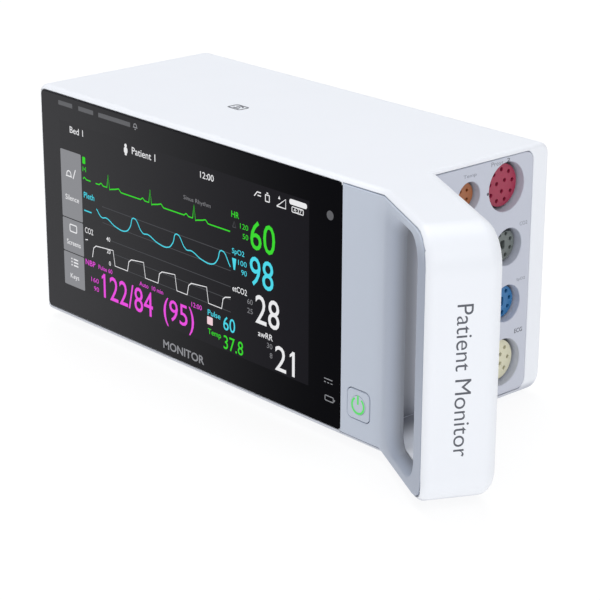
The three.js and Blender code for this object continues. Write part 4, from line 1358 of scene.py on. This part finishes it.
@dataclass
class SocketSide:
    """The grey panel in the right side with its sockets and small labels."""

    def build(self) -> None:
        """Builds the panel, the five cable sockets, the cuff port and the print."""
        Shell("connector_panel", Finishes.panel).build()
        for socket in (
                Socket("pressure_socket", Finishes.red, ((0.74, 9, 10), (0.3, 3, 40))),
                Socket("gas_socket", Finishes.grey, ((0.72, 8, 22.5),), Key.FLAT),
                Socket("oximetry_socket", Finishes.blue, ((0.72, 8, 10),), Key.CENTRE),
                Socket("ecg_socket", Finishes.cream, ((0.72, 8, 0), (0.32, 4, 45))),
                Socket("temperature_socket", Finishes.brown, ((0.5, 4, 45),), hole=0.6)):
            socket.build()
        Shell("cuff_air_port", Finishes.aluminium, edge=0.15).build()
        self._labels()

    def _labels(self) -> None:
        """Prints a short label by each socket."""
        ink = Drawing(LAYOUT.side_plane)
        ink.text("2", (65.6, 67.2, 93.4, 94.7), 0.01)
        ink.area(circle(56.3, 83.4, 0.55, 14))
        ink.text("ECG", (73.0, 77.2, 27.2, 28.9), 0.01)
        finish_drawing("socket_labels_dark", ink, Finishes.ink)
        pale = Drawing(LAYOUT.side_plane)
        for words, span in (("Temp", (43.6, 50.2, 91.0, 92.6)), ("Press", (57.6, 63.6, 93.0, 94.6)),
                            ("CO2", (73.6, 77.6, 68.2, 69.6)), ("SpO2", (73.0, 77.6, 47.0, 48.4)),
                            ("NBP", (44.6, 49.2, 32.6, 34.2))):
            pale.text(words, span)
        finish_drawing("socket_labels_pale", pale, Finishes.faint)


@dataclass
class BatteryBay:
    """The battery, its eject button and the mount release button on the left side."""

    ribs: int = 4
    rim: float = 2.2
    rib_height: float = 0.2
    rib_width: float = 0.6
    sunk: float = 0.05
    grip_lines: int = 5
    grip_pitch: float = 1.6
    grip_width: float = 0.7

    def build(self) -> None:
        """Builds the battery, the buttons and their grip ribs."""
        Shell("battery_pack", Finishes.dark, "battery", edge=0.3).build()
        Shell("battery_eject_button", Finishes.dark, "eject_key").build()
        Shell("mount_release_button", Finishes.cover, "mount_latch").build()
        self._ribs("battery_eject_button", Finishes.dark, "eject_key", upright=True)
        self._ribs("mount_release_button", Finishes.cover, "mount_latch", upright=False)
        self._battery_face()

    def _ribs(self, node: str, finish: Finish, body: str, upright: bool) -> None:
        """Adds grip ribs to a button on the left side.

        Args:
            node: The button's node.
            finish: Its finish.
            body: The body that it moves with.
            upright: Whether the ribs stand upright.
        """
        low, high = box_mm(node)
        x0, x1 = LAYOUT.front - high.y + self.rim, LAYOUT.front - low.y - self.rim
        z0, z1 = low.z + self.rim, high.z - self.rim
        drawing = Drawing(LAYOUT.left_plane, self.rib_height, LAYOUT.left - low.x - self.sunk)
        for rib in range(self.ribs):
            share = (rib + 0.5) / self.ribs
            x, z = x0 + (x1 - x0) * share, z0 + (z1 - z0) * share
            drawing.line([(x, z0), (x, z1)] if upright else [(x0, z), (x1, z)], self.rib_width)
        finish_drawing(f"{node}_ribs", drawing, finish, body, smooth_to=RIM_SMOOTH)

    def _battery_face(self) -> None:
        """Adds a label panel and grip lines to the battery's outer end."""
        low, high = box_mm("battery_pack")
        front, left = LAYOUT.front, LAYOUT.left
        x0, x1 = front - high.y, front - low.y
        lines = Drawing(LAYOUT.left_plane, self.rib_height, left - low.x - self.sunk)
        for step in range(self.grip_lines):
            z = low.z + 4 + step * self.grip_pitch
            lines.line([(x0 + 8, z), (x1 - 8, z)], self.grip_width)
        finish_drawing("battery_grip_lines", lines, Finishes.dark, "battery", smooth_to=RIM_SMOOTH)
        sign = Drawing(LAYOUT.left_plane, lift=left - low.x)
        sign.frame((x0 + 4, x0 + 10, high.z - 6.5, high.z - 3), 0.5, 0.4)
        sign.area(rounded((x0 + 10, x0 + 10.8, high.z - 5.4, high.z - 4.1), 0.2))
        sign.text("Li-ion", (x1 - 13, x1 - 4, high.z - 6.3, high.z - 3.3))
        finish_drawing("battery_signs", sign, Finishes.faint, "battery")


@dataclass
class RearMount:
    """The quick-mount plate on the back with its screws, and the link connector."""

    drive: float = 1.5
    drive_width: float = 0.7
    head: float = 1.0
    thread: float = 1.3
    tongue: Point = (7.2, 0.9)
    contacts: int = 9
    pitch: float = 1.5
    contact: Point = (0.3, 0.1)
    row_gap: float = 0.95
    well: float = 5.0
    tongue_long: float = 3.6
    contact_long: float = 3.3
    flap_step: float = 0.77
    lip_height: float = 0.5
    ring_at: float = 11.5

    def build(self) -> None:
        """Builds the plate, the screw heads, the pawl, the connector and its flap."""
        Shell("quick_mount_plate", Finishes.dark).build()
        Shell("mount_pawl", Finishes.steel, "mount_latch").build()
        for number in range(1, 5):
            self._screw(f"mount_screw_{number}")
        Shell("link_connector", Finishes.dark, edge=0.2).build()
        Shell("link_cover", Finishes.rubber, "link_flap", edge=0.2).build()
        Shell("link_cover_pin", Finishes.steel, edge=0.1).build()
        self._contacts()
        self._flap_lip()

    def _screw(self, node: str) -> None:
        """Builds a domed screw with a cross recess.

        Args:
            node: The screw's node.
        """
        low, high = box_mm(node)
        centre = (low + high) / 2
        radius, deep = (high.x - low.x) / 2, high.y - low.y
        shank = radius / 2
        d, w = self.drive, self.drive_width / 2
        cross = [(w, w), (w, d), (-w, d), (-w, w), (-d, w), (-d, -w), (-w, -w), (-w, -d), (w, -d),
                 (w, -w), (d, -w), (d, w)]
        plane = Plane(Vector((centre.x, low.y, centre.z)), -LAYOUT.X, LAYOUT.Z)
        screw = Drawing(plane)
        end = deep - self.thread
        screw.add(spun([(0, 0), (shank, 0.3), (shank, end), (0, end)], 20), 1.0, 0.0)
        screw.add(sheet_shape([circle(0, 0, radius, 36), cross], edge=0.2), self.head, deep - self.head)
        inner = radius - 0.3
        screw.add(spun([(0, 0), (inner, 0), (inner, 0.25), (0, 0.25)], 28), 1.0, deep - 1.28)
        finish_piece(f"{node}_head", screw.mesh, Finishes.steel, stands_for=node, smooth_to=35)

    def _contacts(self) -> None:
        """Two rows of plated contacts on a tongue in the link connector."""
        low, high = box_mm("link_connector")
        left, rear = LAYOUT.left, LAYOUT.rear
        x, z = -((low.x + high.x) / 2 - left), (low.z + high.z) / 2
        floor = high.y - rear - self.well
        tongue = Drawing(LAYOUT.rear_plane, self.tongue_long, floor - 0.05)
        tongue.add(sheet_shape([pad(x, z, *self.tongue, 0.3)], 0.05))
        finish_drawing("link_tongue", tongue, Finishes.black_plastic_and_shade, smooth_to=RIM_SMOOTH)
        pins = Drawing(LAYOUT.rear_plane, self.contact_long, floor)
        for step in range(self.contacts):
            at = x + (step - (self.contacts - 1) / 2) * self.pitch
            for level in (z - self.row_gap, z + self.row_gap):
                pins.add(sheet_shape([pad(at, level, *self.contact, 0.05)]))
        finish_drawing("link_contacts", pins, Finishes.brass, smooth_to=RIM_SMOOTH)

    def _flap_lip(self) -> None:
        """A raised oval ring and a finger lip on the rubber flap."""
        low, high = box_mm("link_cover")
        left, rear = LAYOUT.left, LAYOUT.rear
        z = (low.z + high.z) / 2
        lip = Drawing(LAYOUT.rear_plane, self.lip_height, high.y - rear - self.flap_step)
        far = -(high.x - left)
        lip.add(sheet_shape([pad(far + 1.9, z, 0.7, 4.5, 0.5)], 0.15))
        middle = far + self.ring_at
        lip.add(sheet_shape([pad(middle, z, 4.0, 1.4, 0.6), pad(middle, z, 3.2, 0.7, 0.4)], 0.05))
        finish_drawing("link_flap_lip", lip, Finishes.rubber, "link_flap", smooth_to=RIM_SMOOTH)


@dataclass
class Feet:
    """Four round rubber feet pressed into the bottom."""

    count: int = 4
    rim: float = 0.8
    flat: float = 2.0
    hollow: float = 0.5

    def build(self) -> None:
        """Builds each foot with a rounded rim and a shallow hollow underneath."""
        for number in range(1, self.count + 1):
            node = f"foot_{number}"
            low, high = box_mm(node)
            radius, tall = (high.x - low.x) / 2, high.z - low.z
            curve = arc(radius - self.rim, self.rim, self.rim, 270, 360, 5)
            hollow = [(0, self.hollow), (radius - self.flat - 0.4, self.hollow), (radius - self.flat, 0)]
            shape = spun([*hollow, *curve, (radius, tall), (0, tall)], 40)
            centre = (low + high) / 2
            plane = Plane(Vector((centre.x, centre.y, low.z)), LAYOUT.X, LAYOUT.Y)
            bmesh.ops.transform(shape, verts=shape.verts, matrix=plane.matrix())
            bmesh.ops.recalc_face_normals(shape, faces=shape.faces)
            finish_piece(f"{node}_pad", shape, Finishes.rubber, stands_for=node, smooth_to=RIM_SMOOTH)


class Inside:
    """The pieces inside the housing, which keep the frame's shapes."""

    def dress(self) -> None:
        """Gives every node of the frame the finish of its slot."""
        for name, node in frame["nodes"].items():
            for slot in node.material_slots:
                slot.material = SLOT_FINISHES[SLOTS[name]].material()
        log.info("dressed %d nodes", len(frame["nodes"]))


# ------------------------------------------------------------------ studio
@dataclass(frozen=True)
class Light:
    """A square soft light; its side is in metres and its power in watts."""

    name: str
    place: tuple[float, float, float]
    side: float
    power: float
    target: tuple[float, float, float] = (0, 0, 0.05)

    def hang(self) -> None:
        """Hangs the light and points it at its target."""
        data = bpy.data.lights.new(self.name, "AREA")
        data.size = self.side
        data.energy = self.power
        lamp = bpy.data.objects.new(self.name, data)
        aim = (Vector(self.target) - Vector(self.place)).to_track_quat("-Z", "Y")
        lamp.matrix_world = Matrix.Translation(self.place) @ aim.to_matrix().to_4x4()
        bpy.context.scene.collection.objects.link(lamp)


@dataclass
class Studio:
    """Pale floor, soft light and the camera."""

    azimuth: float = 47.86
    elevation: float = 19.81
    roll: float = 0.21
    lens: float = 125.19
    sensor: float = 36.0
    far: float = 50.0
    stand: tuple[float, float, float] = (0.54046, -0.49555, 0.29578)
    floor_size: float = 12.0
    sky: tuple[float, ...] = (0.97, 0.98, 1.0, 1.0)
    sky_strength: float = 0.45
    lights: tuple[Light, ...] = (
        Light("key", (1.5, -0.5, 1.2), 1.3, 9.8, target=(0.02, 0, 0.05)),
        Light("top", (-0.6, 0.2, 1.8), 1.5, 19.0),
        Light("front", (0.6, -1.6, 0.9), 1.2, 4.0),
    )

    def build(self) -> None:
        """Sets up the whole studio."""
        self._camera()
        self._floor()
        for light in self.lights:
            light.hang()
        world = bpy.data.worlds.new("studio")
        world.use_nodes = True
        sky = world.node_tree.nodes["Background"].inputs
        sky["Color"].default_value = self.sky
        sky["Strength"].default_value = self.sky_strength
        bpy.context.scene.world = world
        bpy.context.scene.view_settings.view_transform = "Standard"

    def _camera(self) -> None:
        """Places the camera."""
        turn, rise = math.radians(self.azimuth), math.radians(self.elevation)
        back = Vector((math.sin(turn) * math.cos(rise), -math.cos(turn) * math.cos(rise), math.sin(rise)))
        right = Vector((math.cos(turn), math.sin(turn), 0))
        up = back.cross(right)
        basis = Matrix((right, up, back)).transposed().to_4x4()
        data = bpy.data.cameras.new("camera")
        data.lens = self.lens
        data.sensor_width = self.sensor
        data.clip_end = self.far
        camera = bpy.data.objects.new("camera", data)
        camera.matrix_world = (Matrix.Translation(self.stand) @ basis
                               @ Matrix.Rotation(math.radians(self.roll), 4, "Z"))
        bpy.context.scene.collection.objects.link(camera)
        bpy.context.scene.camera = camera

    def _floor(self) -> None:
        """Lays the floor under the feet."""
        mesh = bmesh.new()
        bmesh.ops.create_grid(mesh, x_segments=1, y_segments=1, size=self.floor_size / 2)
        data = bpy.data.meshes.new("floor")
        mesh.to_mesh(data)
        mesh.free()
        floor = bpy.data.objects.new("floor", data)
        bpy.context.scene.collection.objects.link(floor)
        paper = Finish("floor_paper", "7A7A7A", 0.9, specular=0.1, uneven=0.01, grain=0.0, glow=0.84)
        data.materials.append(paper.material())


def main() -> None:
    """Builds the studio and every sub-assembly."""
    Studio().build()
    Inside().dress()
    for assembly in (Housing(), FrontCover(), Screen(), SocketSide(), BatteryBay(), RearMount(), Feet()):
        log.info("building %s", type(assembly).__name__)
        assembly.build()
    bpy.context.view_layer.update()


if __name__ == "__main__":
    main()
